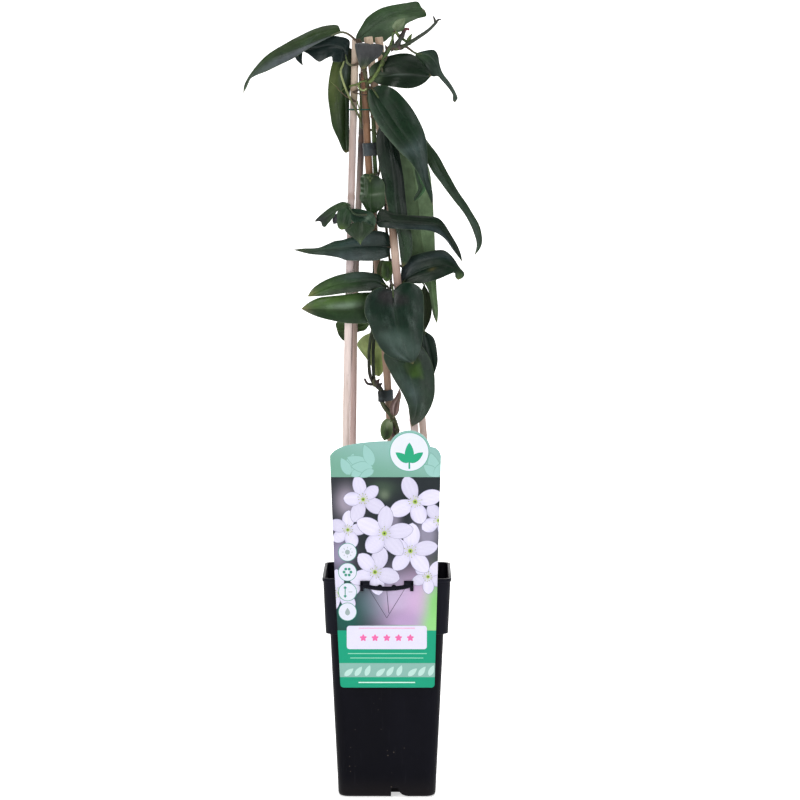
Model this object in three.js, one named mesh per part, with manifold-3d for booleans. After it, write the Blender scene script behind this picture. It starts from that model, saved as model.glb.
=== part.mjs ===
// An evergreen clematis tied to a wigwam of five bamboo canes, in a tall square nursery pot with a
// card label on its collar.
//
// Millimetres, +Z up. The origin is the centre of the pot's base, and the label is on the -Y side.

import * as THREE from 'three';
import { mergeVertices } from 'three/addons/utils/BufferGeometryUtils.js';
import Module from 'manifold-3d';

const wasm = await Module();
wasm.setup();

// ---------------------------------------------------------------------------------------------
// Driving dimensions
// ---------------------------------------------------------------------------------------------

const GAP = 0.3; // clearance between touching pieces

const POT_HEIGHT = 190;
const COLLAR_FOOT = 142; // height where the collar steps out
const LIP_FOOT = 187;
const WALL = 1.6;
const FLOOR_TOP = 2;
const CORNER = 8; // outer corner radius of the square
const BASE_HALF = 41.6; // half widths of the square, outside
const BASE_BEVEL = 2.5;
const BODY_TOP_HALF = 48.4;
const COLLAR_FOOT_HALF = 52.1;
const COLLAR_TOP_HALF = 54.2;
const LIP_HALF = 55;

const CHANNEL_HEIGHT = 7.5; // drain channel under the floor
const CHANNEL_INNER_END = 21; // distance of its inner end from the centre
const DRAIN_HOLE_RADIUS = 2.6;
const DRAIN_HOLE_INSET = 4; // from the channel's inner end

const SOIL_TOP = 172;

const CARD_BACK_Y = -55.4;
const CARD_THICKNESS = 0.8;
const LABEL_BAR_FRONT_Y = -58;
const LABEL_BAR_Z = 188.2; // top of the moulded bar that the card hangs on

const CANE_FOOT_Z = 80;

const WIRE_Z = 586.5;
const WIRE_RADIUS = 0.65;
const CLIP_WALL = 0.9;
const CLIP_STEM_EASE = 0.35; // a clip holds the stem loosely
const CLIPS = [
  { name: 'clip_upper', z: 552.3, height: 9 },
  { name: 'clip_lower', z: 341.6, height: 8.4 },
];

const STEM_HOLE_EASE = 0.2; // the stem bends in the soil, so its hole is a little wider

const LEAF_THICKNESS = 0.7;
const STALK_RADIUS = 0.95;
const STALK_OVERLAP = 0.09; // share of the blade that its stalk runs into

// Centre lines of the canes, from the foot to the cut top.
const CANES = [
  { name: 'cane_front_left', radius: 3.1,
    path: [[-37.8, -33, CANE_FOOT_Z], [-36, -30, 190], [-33.4, -18.5, 398], [-29.2, -10.5, 551],
      [-27, -5, 647]] },
  { name: 'cane_back_left', radius: 2.8,
    path: [[-33.8, 33, CANE_FOOT_Z], [-32.5, 30, 190], [-30, 24, 304], [-26.8, 17, 454], [-21.9, 10, 568],
      [-18.9, 6, 641]] },
  { name: 'cane_centre', radius: 3.2,
    path: [[13, 2, CANE_FOOT_Z], [9.4, 1.5, 190], [0.5, 0.6, 348], [-8.2, 0, 451.5],
      [-15.2, -0.6, 535], [-20.1, -1, 620]] },
  { name: 'cane_front_right', radius: 3.4,
    path: [[38, -33, CANE_FOOT_Z], [34.2, -30, 190], [23.1, -23, 316], [9.8, -15.8, 434.5], [5, -12.8, 485],
      [-6, -7.8, 569], [-15.9, -3, 649]] },
  { name: 'cane_back_right', radius: 3.1,
    path: [[40, 33, CANE_FOOT_Z], [39.5, 31.5, 190], [30.6, 25, 317], [11.3, 14.5, 485], [-7.4, 4, 649]] },
];

// Stems, from the thick end to the thin end.
const STEM_MAIN = { radius: 1.7,
  path: [[16, 11, 120], [15, 9, 190], [12.5, 2, 245], [9.8, -4, 275], [7.7, -6, 303], [7.2, -6.5, 316],
    [3.5, -6, 325], [-1.5, -5.6, 331], [-4.3, -4.7, 336.2], [-4.8, -4.5, 341.5], [-5.4, -4.3, 346.9],
    [-10, -2, 351], [-12, 1, 376], [-11.5, 4, 391], [-11, 6, 420], [-11, 7, 455],
    [-10.5, 7, 497], [-9, 5, 517], [-9.6, 1.5, 529], [-10.7, -1.5, 546.5], [-10.9, -1.8, 558],
    [-11.3, -2, 571], [-12, -2.2, 581.5], [-14.5, -5.6, 591], [-15.6, -7.4, 602], [-16.8, -8.4, 608],
    [-18.5, -10, 616], [-21, -11.5, 628], [-23.5, -11.2, 640], [-24, -11, 646]] };
const STEM_STUB = { radius: 1.2, path: [[-19.3, -2.5, 356], [-17, -2.3, 352], [-9.5, -2, 351]] };
const STEM_SIDE = { radius: 1.15,
  path: [[-9.5, -2, 350.5], [-14, -3.6, 357], [-15.6, -4, 371], [-14.1, -5, 391], [-8, -8, 415],
    [2, -8.8, 431], [3.4, -8, 443], [2.5, -6, 455], [0.5, -4.4, 475], [-1.3, -4, 494],
    [-1.2, -4.6, 505], [-2.6, -5, 519], [-3.6, -5, 527]] };
const STEM_TOP = { radius: 1.3,
  path: [[-16.5, -8.4, 609], [-12.8, -11.5, 611.7], [-8.3, -13.5, 618.2], [-4.7, -14, 624.4],
    [-1.9, -14, 631], [3.1, -13.5, 639], [7.4, -13.5, 638], [13.7, -14, 640], [27.9, -15, 648.5],
    [35.7, -16, 654], [42.2, -17, 660.5]] };

// Young twigs and buds at the end of the top shoot.
const TOP_TWIGS = [
  { radius: 0.7, path: [[41, -16.8, 659.4], [40.5, -17, 662.5], [39.3, -17.5, 665.2]] },
  { radius: 0.7, path: [[41, -16.8, 659.4], [44, -17, 662.6], [45.7, -17, 662.5]] },
  { radius: 1.4, path: [[4, -13.5, 638.5], [8.1, -14.5, 641], [12.3, -15, 647.8],
    [16.2, -15.5, 654.6], [18.7, -15.5, 654.2]] },
  { radius: 1.1, path: [[5.4, -13.5, 638], [4.8, -12, 645], [5.4, -11, 650.6], [7.4, -11, 652],
    [10, -12, 649], [16.5, -12.5, 644]] },
];

// The tendril winds down round its cane, between a lead from the top shoot and a free tail.
const TENDRIL = { radius: 0.7, around: 'cane_front_left', top: 607.6, bottom: 601.5,
  startDegrees: -70, sweepDegrees: -400,
  lead: [[-17.4, -10.6, 611], [-22, -12.2, 610]], tail: [[-22.5, -12.4, 599.6], [-16.9, -11.4, 599]] };

// Leaves. A blade has its midrib from the base to the tip and the two edges between them. A stalk
// runs from the blade to the axis of the stem that carries it, and ends at that stem's bark.
const LEAVES = [
  { name: 'leaf_top_left', stem: 'stem_main', tone: 'mid',
    blades: [{ rib: [[-39, -8, 652], [-61, -14, 644], [-80.5, -19, 636.5], [-99.5, -22, 628.5],
        [-113, -23, 617.5], [-121.6, -23, 600.4]],
      left: [[-42, -5, 658], [-52, -6, 657.7], [-68.6, -11, 651.8], [-85.5, -15, 642.7],
        [-102.4, -20, 631.8], [-113.7, -22, 619.3], [-120.5, -23, 608]],
      right: [[-52.9, -14, 645.5], [-66.4, -19, 638], [-79.7, -24, 629.5], [-101.1, -27, 619.3],
        [-115.3, -26, 612.5], [-120.2, -25, 604.7]] }],
    stalks: [[[-39, -8, 652], [-34, -9, 651], [-29, -11, 647.5], [-23.8, -11, 642.5]]] },
  { name: 'leaf_top_arched', stem: 'stem_main', tone: 'dark',
    blades: [
      { rib: [[-34.4, -9, 628.5], [-37.6, -10, 637.9], [-47.8, -9.5, 640.9], [-59, -9, 638.8],
          [-69.2, -9, 637.9], [-76.9, -9.5, 637.1]],
        left: [[-31.6, -8, 640.5], [-31.6, -8, 644.5], [-33.3, -7.5, 646.5], [-41.9, -7, 648.6],
          [-50.4, -7, 649], [-60.7, -7, 645.6], [-71, -7.5, 641.3]],
        right: [[-39.3, -13, 626.8], [-46.1, -13, 627.4], [-46.9, -13.5, 631.3], [-51.4, -14, 629.6],
          [-57.2, -13, 626.8], [-59.7, -12.5, 627.9], [-66.8, -12, 633.6], [-71.7, -11, 635.8]] },
      { rib: [[-69.2, -9.2, 639.2], [-74.7, -11, 637], [-75.1, -12, 631.1], [-71.3, -12.5, 623.4]],
        left: [[-73.5, -9.5, 640.9], [-78.7, -11.5, 636.2], [-77.5, -12.5, 629.4]],
        right: [[-71.3, -10.5, 636.6], [-71.7, -12, 634], [-72, -12.5, 628.5]] }],
    stalks: [[[-34.5, -9.2, 628.6], [-33.6, -11, 626], [-30, -12, 624], [-25, -12.5, 625],
      [-20.4, -11.2, 625.5]]] },
  { name: 'leaf_left_hanging', stem: 'stem_main', tone: 'mid',
    blades: [{ rib: [[-33.4, -2, 640], [-36, -3, 626], [-36.5, -2.5, 607], [-35.5, -1.5, 586],
        [-35.5, -2, 567], [-35, -3.5, 549.5]],
      left: [[-40.5, -4, 638], [-46, -6, 627.5], [-49.2, -7, 615], [-50, -7, 595], [-46.6, -7, 573],
        [-42.3, -6, 562.5], [-37, -4.5, 550.8]],
      right: [[-29.5, 0, 637], [-29, 0, 624], [-32, -0.5, 597], [-32.2, -0.5, 573], [-31.5, -1.8, 558],
        [-32.6, -3, 550.8]] }],
    stalks: [[[-36.2, -4.5, 630.5], [-37.5, -6, 624.5], [-39.4, -9, 619.5], [-36.5, -13, 608],
      [-31.8, -14.5, 597], [-27, -15.5, 587], [-23.5, -12, 580], [-22.2, -5.5, 575.5], [-22.1, 1, 572],
      [-17.8, 5.1, 570], [-13.5, 3.5, 569], [-11.2, -2, 568.5]]] },
  { name: 'leaf_top_right', stem: 'stem_main', tone: 'light',
    blades: [{ rib: [[-26, 2.5, 641.3], [-22, 6.5, 648], [-10, 10, 657.5], [3, 10, 665.8], [18, 8, 669.5],
        [32.5, 5, 670.8]],
      left: [[-26.6, 4, 648.3], [-25, 5, 652.1], [-21.3, 7, 658.6], [-17.5, 9, 664.6], [-4.7, 10, 673],
        [16.5, 9, 677.3], [26.4, 7, 678.2], [29.5, 6, 673.4]],
      right: [[-20, 6.5, 643.8], [-13, 9.5, 643.5], [-6, 10, 643], [-1.8, 10, 644.5], [1.3, 10, 647.3],
        [8.3, 8, 651.8], [14.6, 6, 653.9], [15.6, 5, 658.5], [25.9, 3, 663.6], [33.5, 3, 666]] }],
    stalks: [[[-26, 2.4, 642], [-24.3, -1.2, 643], [-22, -5.5, 644], [-23.8, -11, 643.5]]] },
  { name: 'leaf_top_small', stem: 'stem_top', tone: 'light',
    blades: [{ rib: [[7, -8.5, 654], [10, -7.5, 658.5], [15.4, -8, 664]],
      left: [[4.5, -7, 656], [8, -6.5, 662]],
      right: [[10.5, -9.5, 654], [14.5, -9.5, 658.5]] }],
    stalks: [[[7, -8.5, 654], [6.4, -11, 651.6]]] },
  { name: 'leaf_top_front', stem: 'stem_main', tone: 'dark',
    blades: [{ rib: [[-19, -14, 630], [-15, -15, 637.5], [-14, -20, 641.8], [-16, -25, 633],
        [-19.7, -27, 621]],
      left: [[-24, -15, 637], [-27, -18, 642], [-26, -23, 634], [-23.8, -26, 625.5], [-22.6, -27, 621.8]],
      right: [[-8, -14, 636], [-3, -17, 641.2], [-2.8, -20.5, 638], [-5.4, -24, 632],
        [-12.5, -26.5, 626.5], [-16.8, -27, 622.3]] }],
    stalks: [[[-19, -14, 630.5], [-21, -11.5, 629]]] },
  { name: 'leaf_right_upper', stem: 'stem_top', tone: 'dark',
    blades: [{ rib: [[-15, -9.8, 615], [-9, -10.3, 615.5], [0, -13.5, 616], [11, -18, 617.5],
        [24.9, -19, 616.7], [37.7, -18, 615]],
      left: [[-14.6, -9.4, 621.5], [-10.5, -9.6, 625.8], [-1.2, -9.8, 631], [6, -9.5, 632.9],
        [13, -10, 634], [22, -11.5, 633], [28.8, -13.5, 627.5], [33.7, -15.5, 621]],
      right: [[-13.5, -9.6, 612], [-7.5, -11, 608.3], [2.6, -20, 605.9], [12.9, -23, 604.7],
        [22.3, -23, 605.1], [31, -22, 608.4]] }],
    stalks: [[[-14.9, -9.8, 613], [-14.6, -10, 610.4]]] },
  { name: 'leaf_right_hooked', stem: 'stem_top', tone: 'dark',
    blades: [{ rib: [[24.4, -9, 634.2], [35.1, -8, 632], [41.5, -9, 625.5], [44.8, -9.5, 617.5],
        [50, -11.5, 610], [55.5, -13.5, 602], [58, -14.5, 597], [57.6, -15, 592.3]],
      left: [[31, -7, 636.3], [39.6, -6, 637.2], [42, -6, 635.5], [43.9, -6.5, 631.2], [44.6, -7, 626.1],
        [47, -8, 618.4], [53.8, -10, 609.1], [58.5, -13, 600.6], [60.1, -14, 596]],
      right: [[24.2, -8, 630], [28.6, -8, 624], [33.6, -10, 618.4], [38.4, -12, 614.4],
        [43.6, -12.5, 614.6], [46.1, -12.5, 612], [51.6, -13.5, 605.6], [56, -15, 598.8],
        [56, -15, 594.5]] }],
    stalks: [[[24.6, -9, 634.2], [21.5, -10, 636], [17.5, -12, 639], [14.6, -14, 640.5]]] },
  { name: 'leaf_right_large', stem: 'stem_main', tone: 'dark',
    blades: [
      { rib: [[-12.5, -14, 604.5], [-1.7, -20, 588.5], [10.3, -23, 570.5], [22.3, -24, 554.3],
          [29.5, -23, 538], [34, -22, 520], [39.3, -21, 504.5]],
        left: [[-15.5, -15, 603], [-13.4, -17.5, 585.1], [-7, -20, 572.4], [7.9, -23.5, 554.2],
          [20.7, -24.5, 541.1], [29.2, -24, 526.7], [34.2, -23, 516.5]],
        right: [[-6.4, -16, 607.1], [3.4, -22, 605.3], [10, -21.5, 600.8], [21.7, -20, 587],
          [30.2, -19.5, 571.1], [33.5, -20, 560.5], [34.5, -20, 542.7], [35.6, -20, 530.8],
          [38.7, -20.5, 516]] },
      { rib: [[23.6, -24.3, 538.1], [26.6, -23.4, 528.3], [29.3, -22.8, 520.7], [26.8, -22, 514.7],
          [22.3, -21.5, 508.4]],
        left: [[24, -24, 533.4], [25.5, -23, 525.8], [26.6, -22, 519.4], [23.5, -21.3, 513]],
        right: [[26, -24.6, 534.3], [28.9, -24, 527.1], [32.8, -23.4, 519.4], [29.8, -22.8, 514.3],
          [25.5, -22.3, 510.1]] }],
    stalks: [[[-12.5, -13.8, 604.5], [-14, -11, 605.2], [-16.2, -8, 605.5]]] },
  { name: 'leaf_right_trailing', stem: 'stem_main', tone: 'dark',
    blades: [{ rib: [[28.3, -8, 567.1], [40.3, -10, 546.6], [52.3, -11, 525.2], [66.8, -12, 503.9],
        [76.3, -13, 485.9], [78.8, -13, 473], [74.6, -13, 462]],
      left: [[29, -11, 553.4], [36, -13, 538.9], [48, -14, 521], [63.4, -14, 501.3], [72.8, -14, 485],
        [76.5, -14, 472.3]],
      right: [[34.3, -6, 560.3], [46.3, -8, 543.2], [58.3, -9, 521], [70.3, -10, 503], [79.7, -11, 485],
        [80.8, -12, 471.4]] }],
    stalks: [[[28.3, -8, 567], [16, -7, 574], [4, -3, 572], [-4, -1, 568], [-11.1, -1.9, 565]]] },
  { name: 'leaf_back_dark', stem: 'stem_main', tone: 'dark',
    blades: [{ rib: [[-3.4, -14.5, 580], [1.7, -15.5, 560.3], [5.1, -16, 538.9], [8.6, -16, 513.3],
        [12, -15.5, 485], [15, -13.5, 468], [13.3, -12, 452.5]],
      left: [[-8.5, -14.4, 566], [-8.4, -15.2, 550], [-5.2, -15.6, 533], [-2.9, -15.9, 522],
        [2, -17.8, 498.7], [8.8, -17.2, 481], [10.4, -15, 472], [11.5, -13, 460]],
      right: [[6, -12.5, 573], [10.3, -12.5, 551.7], [14.5, -13, 526], [17.5, -13, 497], [21.5, -12, 476],
        [21.5, -11.5, 464], [17.5, -11.5, 456.5]] }],
    stalks: [[[-3.6, -14.4, 580], [-8.5, -13.3, 581], [-13, -9.5, 581], [-12.8, -5, 580],
      [-11.9, -2.2, 580]]] },
  { name: 'leaf_back_pale', stem: 'stem_main', tone: 'light',
    blades: [{ rib: [[11, 0, 564.5], [21.4, 4, 538.9], [26.6, 6, 509], [30, 6, 474.8], [37, 4, 442],
        [40, 2, 420], [42.9, 0, 403]],
      left: [[9, 1, 556], [10.5, 5, 530], [14, 8, 500], [18, 8, 466.3], [29, 6, 443], [36, 4, 430],
        [39.5, 2, 411]],
      right: [[24.9, 2, 557.7], [35.1, 4, 538.9], [38.6, 5, 517.5], [40.3, 5, 487.6], [41.7, 4, 457.7],
        [42.6, 2, 432.1], [43.9, 1, 413.3]] }],
    stalks: [[[11, 0, 564.5], [4, 1.5, 563.5], [-2.5, 1.3, 563], [-6.1, -0.8, 558.5], [-6.1, -1.6, 551],
      [-6.2, -1, 543], [-6.6, 1, 534], [-9.4, 2.6, 525]]] },
  { name: 'leaf_right_mid', stem: 'stem_side', tone: 'dark',
    blades: [{ rib: [[11.1, -8, 437.4], [21.4, -9, 445.7], [35.1, -11, 451.7], [48.8, -13, 454.3],
        [57.5, -14, 452], [62.5, -14.5, 448], [60.6, -15.5, 441.6]],
      left: [[13.3, -4, 454.2], [17, -3.5, 459.5], [26.1, -4, 463.2], [34.7, -5, 465.4],
        [41.1, -6, 466.7], [48.6, -7, 466.8], [53.8, -8.5, 463.4], [58.1, -10, 458.2],
        [61.9, -11.5, 452.3], [66.2, -12.5, 446.9], [64.8, -14, 443.5]],
      right: [[20.7, -12, 438.6], [31.4, -15, 438.8], [42, -17, 442], [51.6, -17, 445.8],
        [57.6, -16, 447.6], [58.3, -15.8, 444]] }],
    stalks: [[[11.4, -8, 437.4], [7, -7, 437], [2.9, -8.4, 436.5]]] },
  { name: 'leaf_front_heart', stem: 'stem_side', tone: 'dark',
    blades: [{ rib: [[5.1, -24, 433], [6, -27, 418.5], [9.9, -29, 399.7], [15.4, -29.5, 383.5],
        [22.3, -29, 370.7]],
      left: [[-6, -26, 436], [-17, -27, 428.5], [-19.3, -28, 415], [-15, -28, 404], [-9.9, -28, 391.2],
        [0, -28.5, 378.4]],
      right: [[13.2, -23, 439.3], [20.7, -23, 439.7], [27.1, -22, 436.5], [30.4, -21.5, 432.2],
        [31.5, -21, 424.8], [31.5, -22, 409.6], [30.8, -24, 395.3], [28, -26.5, 381.1]] }],
    stalks: [[[5.1, -24, 432], [4.5, -20, 437], [3.8, -13, 439], [3.2, -8.3, 440]]] },
  { name: 'leaf_lower_front', stem: 'stem_side', tone: 'light',
    blades: [{ rib: [[11, -24.5, 386], [17.1, -25, 368], [23.1, -27, 351], [25.7, -28.5, 333.8],
        [21, -29, 317]],
      left: [[-2.6, -23.5, 379], [3.4, -24, 362], [12, -26.5, 347.5], [18, -28, 334.7], [19.4, -29, 326]],
      right: [[26.6, -20, 387.7], [36.9, -19, 374], [40.2, -20, 364], [40.9, -20.5, 352],
        [40.3, -21.5, 342], [36.6, -24, 331.5], [29.6, -27, 322.3]] }],
    stalks: [[[11, -24.5, 385], [6, -22, 392], [0, -16, 400], [-5, -11, 408], [-9, -7.5, 411.5]]] },
  { name: 'leaf_lower_back', stem: 'stem_side', tone: 'dark',
    blades: [{ rib: [[31.7, -6, 398], [36.9, -8, 380.8], [40.3, -10, 360.3]],
      left: [[27.5, -8, 389], [30.5, -11, 372]],
      right: [[40, -6, 391.5], [43.2, -8, 377.6], [43.2, -9, 370]] }],
    stalks: [[[31.9, -6, 397], [22, -6, 415], [10, -5, 428], [1, -8.2, 428.5]]] },
  { name: 'leaf_left_mid_upper', stem: 'stem_side', tone: 'mid',
    blades: [{ rib: [[0.5, -15.5, 436.3], [-10, -20, 441], [-25, -24, 441.5], [-44, -24, 438],
        [-58, -23, 432.5], [-67.8, -22, 427.8]],
      left: [[-3.8, -15.5, 442.5], [-6, -16, 445.7], [-13.4, -18, 448], [-21.9, -20, 449.1],
        [-34.6, -21, 447.7], [-45.3, -21, 444.9], [-55.9, -21, 440.1], [-63.4, -21.5, 434.3]],
      right: [[-1.7, -18, 433.5], [-9.1, -21, 432.8], [-22.9, -25, 432.2], [-34.6, -26.5, 431.2],
        [-47.3, -26, 429.3], [-61.2, -24, 428.1]] }],
    stalks: [[[0.2, -15.3, 436.2], [1.3, -12, 434], [1.9, -8.8, 431.5]]] },
  { name: 'leaf_left_mid_lower', stem: 'stem_side', tone: 'light',
    blades: [{ rib: [[-3, -17, 424.5], [-12.9, -19.5, 420.5], [-31.7, -22, 417.5], [-53, -22, 417],
        [-73.2, -20, 417.3]],
      left: [[-8.5, -16, 431.7], [-14.5, -17, 431.3], [-23, -18.5, 431], [-34.6, -21.8, 429.6],
        [-47.4, -21.2, 428.2], [-58.1, -20, 426.8], [-66.6, -19.5, 422.6]],
      right: [[-12.3, -22, 406.8], [-23, -23.5, 405], [-34.6, -24.5, 405.4], [-44.2, -25, 407],
        [-59.1, -24.5, 410.7], [-66.5, -22, 413.7]] }],
    stalks: [[[-3.3, -17, 424.5], [-3, -12, 423.5], [-3.4, -8.4, 423]]] },
  { name: 'leaf_left_spear', stem: 'stem_side', tone: 'dark',
    blades: [{ rib: [[3, -8.5, 469.5], [-10, -12, 470.5], [-25, -19, 470.5], [-40, -22, 469],
        [-60, -21, 467.3], [-80.2, -19, 467.6]],
      left: [[1.5, -7.5, 480], [-8.9, -11, 483.5], [-23.1, -18, 480.5], [-31.5, -20.5, 478],
        [-38.9, -21, 475.9], [-44.2, -21.5, 475.2], [-50.6, -21.5, 472.5], [-58, -20.5, 469.5],
        [-71.5, -19.5, 468.7]],
      right: [[1.3, -10, 461.6], [-3.8, -12, 459.6], [-10.2, -15, 458.1], [-23, -20, 458.2],
        [-35.7, -23.5, 459], [-40, -24, 460.7], [-50.6, -23.5, 462.6], [-66.5, -21, 464.2]] }],
    stalks: [[[2.8, -8.5, 469.5], [1.1, -4.8, 468.5]]] },
  { name: 'leaf_centre_crumpled', stem: 'stem_main', tone: 'mid',
    blades: [{ rib: [[-14.5, -9, 531.4], [-14.1, -12.5, 523], [-13.7, -13.5, 512.8],
        [-13.7, -12.5, 504.3], [-13.2, -11.5, 497.2]],
      left: [[-19.3, -8, 532], [-22.6, -8.5, 529.1], [-23.1, -9.5, 522.9], [-22.6, -10.5, 517],
        [-23.1, -11, 511], [-20.2, -11, 505.6], [-17.9, -11, 501.2]],
      right: [[-8.8, -13.5, 530.2], [-4, -18, 527.4], [-1.7, -18.4, 521.8], [-2.2, -18, 516.3],
        [-1.7, -16.8, 510.4], [-2.3, -15, 504.7], [-7.9, -12.5, 500]] }],
    stalks: [[[-14.3, -9, 531], [-10.5, -6.5, 531.5], [-8.5, -2.5, 531], [-9.6, 1.5, 529.5]]] },
  { name: 'leaf_left_cluster', stem: 'stem_side', tone: 'dark',
    blades: [
      { rib: [[-30.6, -20, 505.4], [-37.5, -20.5, 504.5], [-45.1, -22, 499.5], [-51.9, -23, 494.8],
          [-61.7, -23.5, 491.6]],
        left: [[-33.2, -19, 507.4], [-37.6, -19.5, 508.5], [-41.9, -20, 507.2], [-48.5, -21.5, 503.5],
          [-55.1, -22.5, 498.4], [-59.8, -23.5, 494.2]],
        right: [[-37.4, -21, 502.6], [-42.5, -22, 500.3], [-44.2, -23, 497], [-47.5, -24.5, 492.8],
          [-50.3, -25, 489.5], [-52.7, -25.5, 486.9], [-55.1, -25, 488.2], [-56.3, -24, 491.7]] },
      { rib: [[-39.1, -21.8, 498.6], [-44.4, -22.5, 494], [-45.5, -22, 489.5]],
        left: [[-43.4, -22, 498.1], [-46.3, -22, 493.1]],
        right: [[-40.4, -23, 493.6], [-42.7, -22.5, 490.2]] },
      { rib: [[-31.5, -20.3, 504.5], [-35.3, -23, 497.8], [-37.4, -24, 491.1], [-38.5, -23.5, 484.6]],
        left: [[-35.7, -21, 504.1], [-41.3, -22.5, 501.6], [-42.7, -23, 496.1], [-42.3, -23, 489.3],
          [-41.2, -23, 486.1]],
        right: [[-29.4, -21.5, 499.5], [-29.9, -22.5, 492.3], [-31.9, -23.5, 487.7],
          [-35.7, -23.5, 485.3]] },
      { rib: [[-33.2, -22.2, 499.5], [-26.4, -21, 496.9], [-19.6, -21, 495.2], [-13.6, -20.5, 490.9],
          [-11.1, -20, 485.4]],
        left: [[-29.8, -20.5, 502.4], [-24.7, -20, 502.4], [-17.9, -20, 501.1], [-11.9, -20, 498.6],
          [-9.2, -20, 492.6]],
        right: [[-29.8, -22.5, 492.7], [-24.7, -22, 488.4], [-17.9, -21.5, 487.6],
          [-13.6, -20.5, 485.8]] },
      { rib: [[-22.1, -21.2, 493.1], [-22.3, -24, 483.4], [-22.5, -23.5, 472]],
        left: [[-28.9, -22.5, 490.6], [-34.9, -23.5, 486.8], [-36, -24, 484.5], [-31.5, -24.5, 480.1],
          [-26.4, -24, 476]],
        right: [[-16.2, -22, 490.1], [-10.2, -22.5, 487.2], [-13.2, -23.5, 483], [-19.4, -24, 477.1]] }],
    stalks: [[[-32.9, -21.8, 505.6], [-30, -23, 500.7], [-26.7, -23.3, 497.9], [-22, -22.6, 497.5],
      [-16.2, -19.5, 497.2], [-12, -16.5, 495], [-7, -10, 494], [-1.5, -4, 493.5]]] },
  { name: 'leaf_right_narrow', stem: 'stem_side', tone: 'dark',
    blades: [{ rib: [[-9, -16.5, 491.5], [0, -20, 492.5], [7.7, -22, 491.9], [28.3, -23, 490.6],
        [43.7, -23, 488.5], [53.1, -22, 476.5], [64.3, -20, 457.1]],
      left: [[-8.2, -16.8, 497.5], [-5, -17.6, 502.4], [-0.8, -18.9, 501.4], [5, -19.8, 498.6],
        [15.4, -20.5, 497.1], [32.6, -21, 496.5], [44.5, -20.5, 494], [56, -20.5, 478.2],
        [62.6, -19.5, 464.6]],
      right: [[-7, -18, 487], [-1.5, -21.5, 486.3], [15.4, -25, 485], [36.9, -26, 483.8],
        [48.8, -25, 477.5], [57.4, -22.5, 466]] }],
    stalks: [[[-8.8, -16.3, 491.2], [-7.5, -13, 489], [-4.5, -8.5, 487.5], [-0.8, -4.1, 487.5]]] },
  { name: 'leaf_centre_curled', stem: 'stem_side', tone: 'light',
    blades: [
      { rib: [[4.3, -9.5, 457], [1.8, -12.5, 451], [1, -13.5, 444], [-0.6, -13, 439.8]],
        left: [[-2.6, -11, 457.6], [-4.7, -12.5, 451.5], [-3.8, -13.5, 443.1]],
        right: [[6, -9.6, 455.2], [5.8, -10.8, 450.6], [4.3, -12, 445.5], [2.4, -12.5, 441.3]] },
      { rib: [[3.2, -9.8, 455.6], [-3.5, -9, 455], [-6, -8, 449], [-5, -8, 441.5]],
        left: [[-5, -8.5, 458.2], [-8.3, -7.5, 452], [-8.5, -7, 446]],
        right: [[-1.5, -9.8, 451], [-1, -9.5, 445]] }],
    stalks: [[[4, -9.2, 456], [2.6, -6.1, 455]]] },
  { name: 'leaf_back_left', stem: 'stem_main', tone: 'olive',
    blades: [{ rib: [[-15, 14, 402], [-28, 27, 397.5], [-43.6, 28, 395.5]],
      left: [[-21, 21.5, 405], [-36, 28, 405], [-44.6, 28, 402]],
      right: [[-19, 18, 396.5], [-25, 24, 394.5], [-32, 28, 390], [-37.4, 29, 386.5],
        [-42.2, 28.5, 391.5]] }],
    stalks: [[[-15.3, 14.3, 402], [-12.5, 8, 404], [-11.2, 5, 405]]] },
  { name: 'leaf_centre_pale', stem: 'stem_main', tone: 'pale',
    blades: [{ rib: [[-12, 7.5, 396], [-13, 7.5, 385], [-9.4, 7, 370.6], [-7, 5.5, 357.2]],
      left: [[-21.6, 6, 391.5], [-25.9, 5, 385], [-23.6, 5, 380.4], [-17.3, 5, 372], [-13.4, 5, 366],
        [-11, 5, 359]],
      right: [[-4.3, 9, 391], [-2.6, 9, 381], [-2.6, 8, 369], [-4, 6.5, 360.5]] }],
    stalks: [[[-12, 7.6, 395.5], [-11.5, 8.2, 399], [-11.2, 5, 402]]] },
  { name: 'leaf_back_right', stem: 'stem_side', tone: 'olive',
    blades: [{ rib: [[31.7, 12, 437], [32.6, 13, 419], [31.7, 12, 394.5]],
      left: [[27, 12, 423], [27.4, 12, 406]],
      right: [[37.7, 11, 425], [37.7, 11, 408]] }],
    stalks: [[[31.7, 12, 436.5], [22, 12, 443], [15, 9.5, 450], [8, 3, 455], [2.3, -5.5, 458.5]]] },
  { name: 'leaf_low_small', stem: 'stem_main', tone: 'mid',
    blades: [{ rib: [[4, -10.8, 321], [-0.5, -12.5, 315.5], [-2.5, -12.5, 303.7]],
      left: [[-1, -11.5, 322.3], [-4.9, -12, 318], [-5.8, -12.5, 312], [-4.7, -12.5, 307]],
      right: [[5, -11.8, 317], [4.6, -13, 311], [1.5, -13.5, 305.5]] }],
    stalks: [[[4, -10.8, 320.6], [6.2, -6.4, 319]]] },
  { name: 'bud_scale', stem: 'stem_main', tone: 'straw',
    blades: [{ rib: [[6, -10, 323.5], [6.9, -11, 333], [10.2, -10.5, 341], [10.8, -10, 348.5]],
      left: [[2.6, -11.2, 328], [2.8, -11.4, 335], [7.6, -11.5, 342]],
      right: [[9.6, -9.5, 327], [11, -9.5, 336], [12.2, -9.5, 343]] }],
    stalks: [[[6, -10, 324], [4.8, -6.3, 322.5]]] },
];

const COLOURS = {
  pot: '#1c1b21', soil: '#3a2b20', card: '#cfd9d4', cane: '#cdb8ad', caneTan: '#a5826a', wire: '#1e463c',
  clip: '#373e41', bark: '#5f503c', shoot: '#788750', dark: '#212e26', mid: '#3a4e2a', light: '#465f41',
  olive: '#2c3a20', pale: '#647d41', straw: '#9a8660',
};

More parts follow.
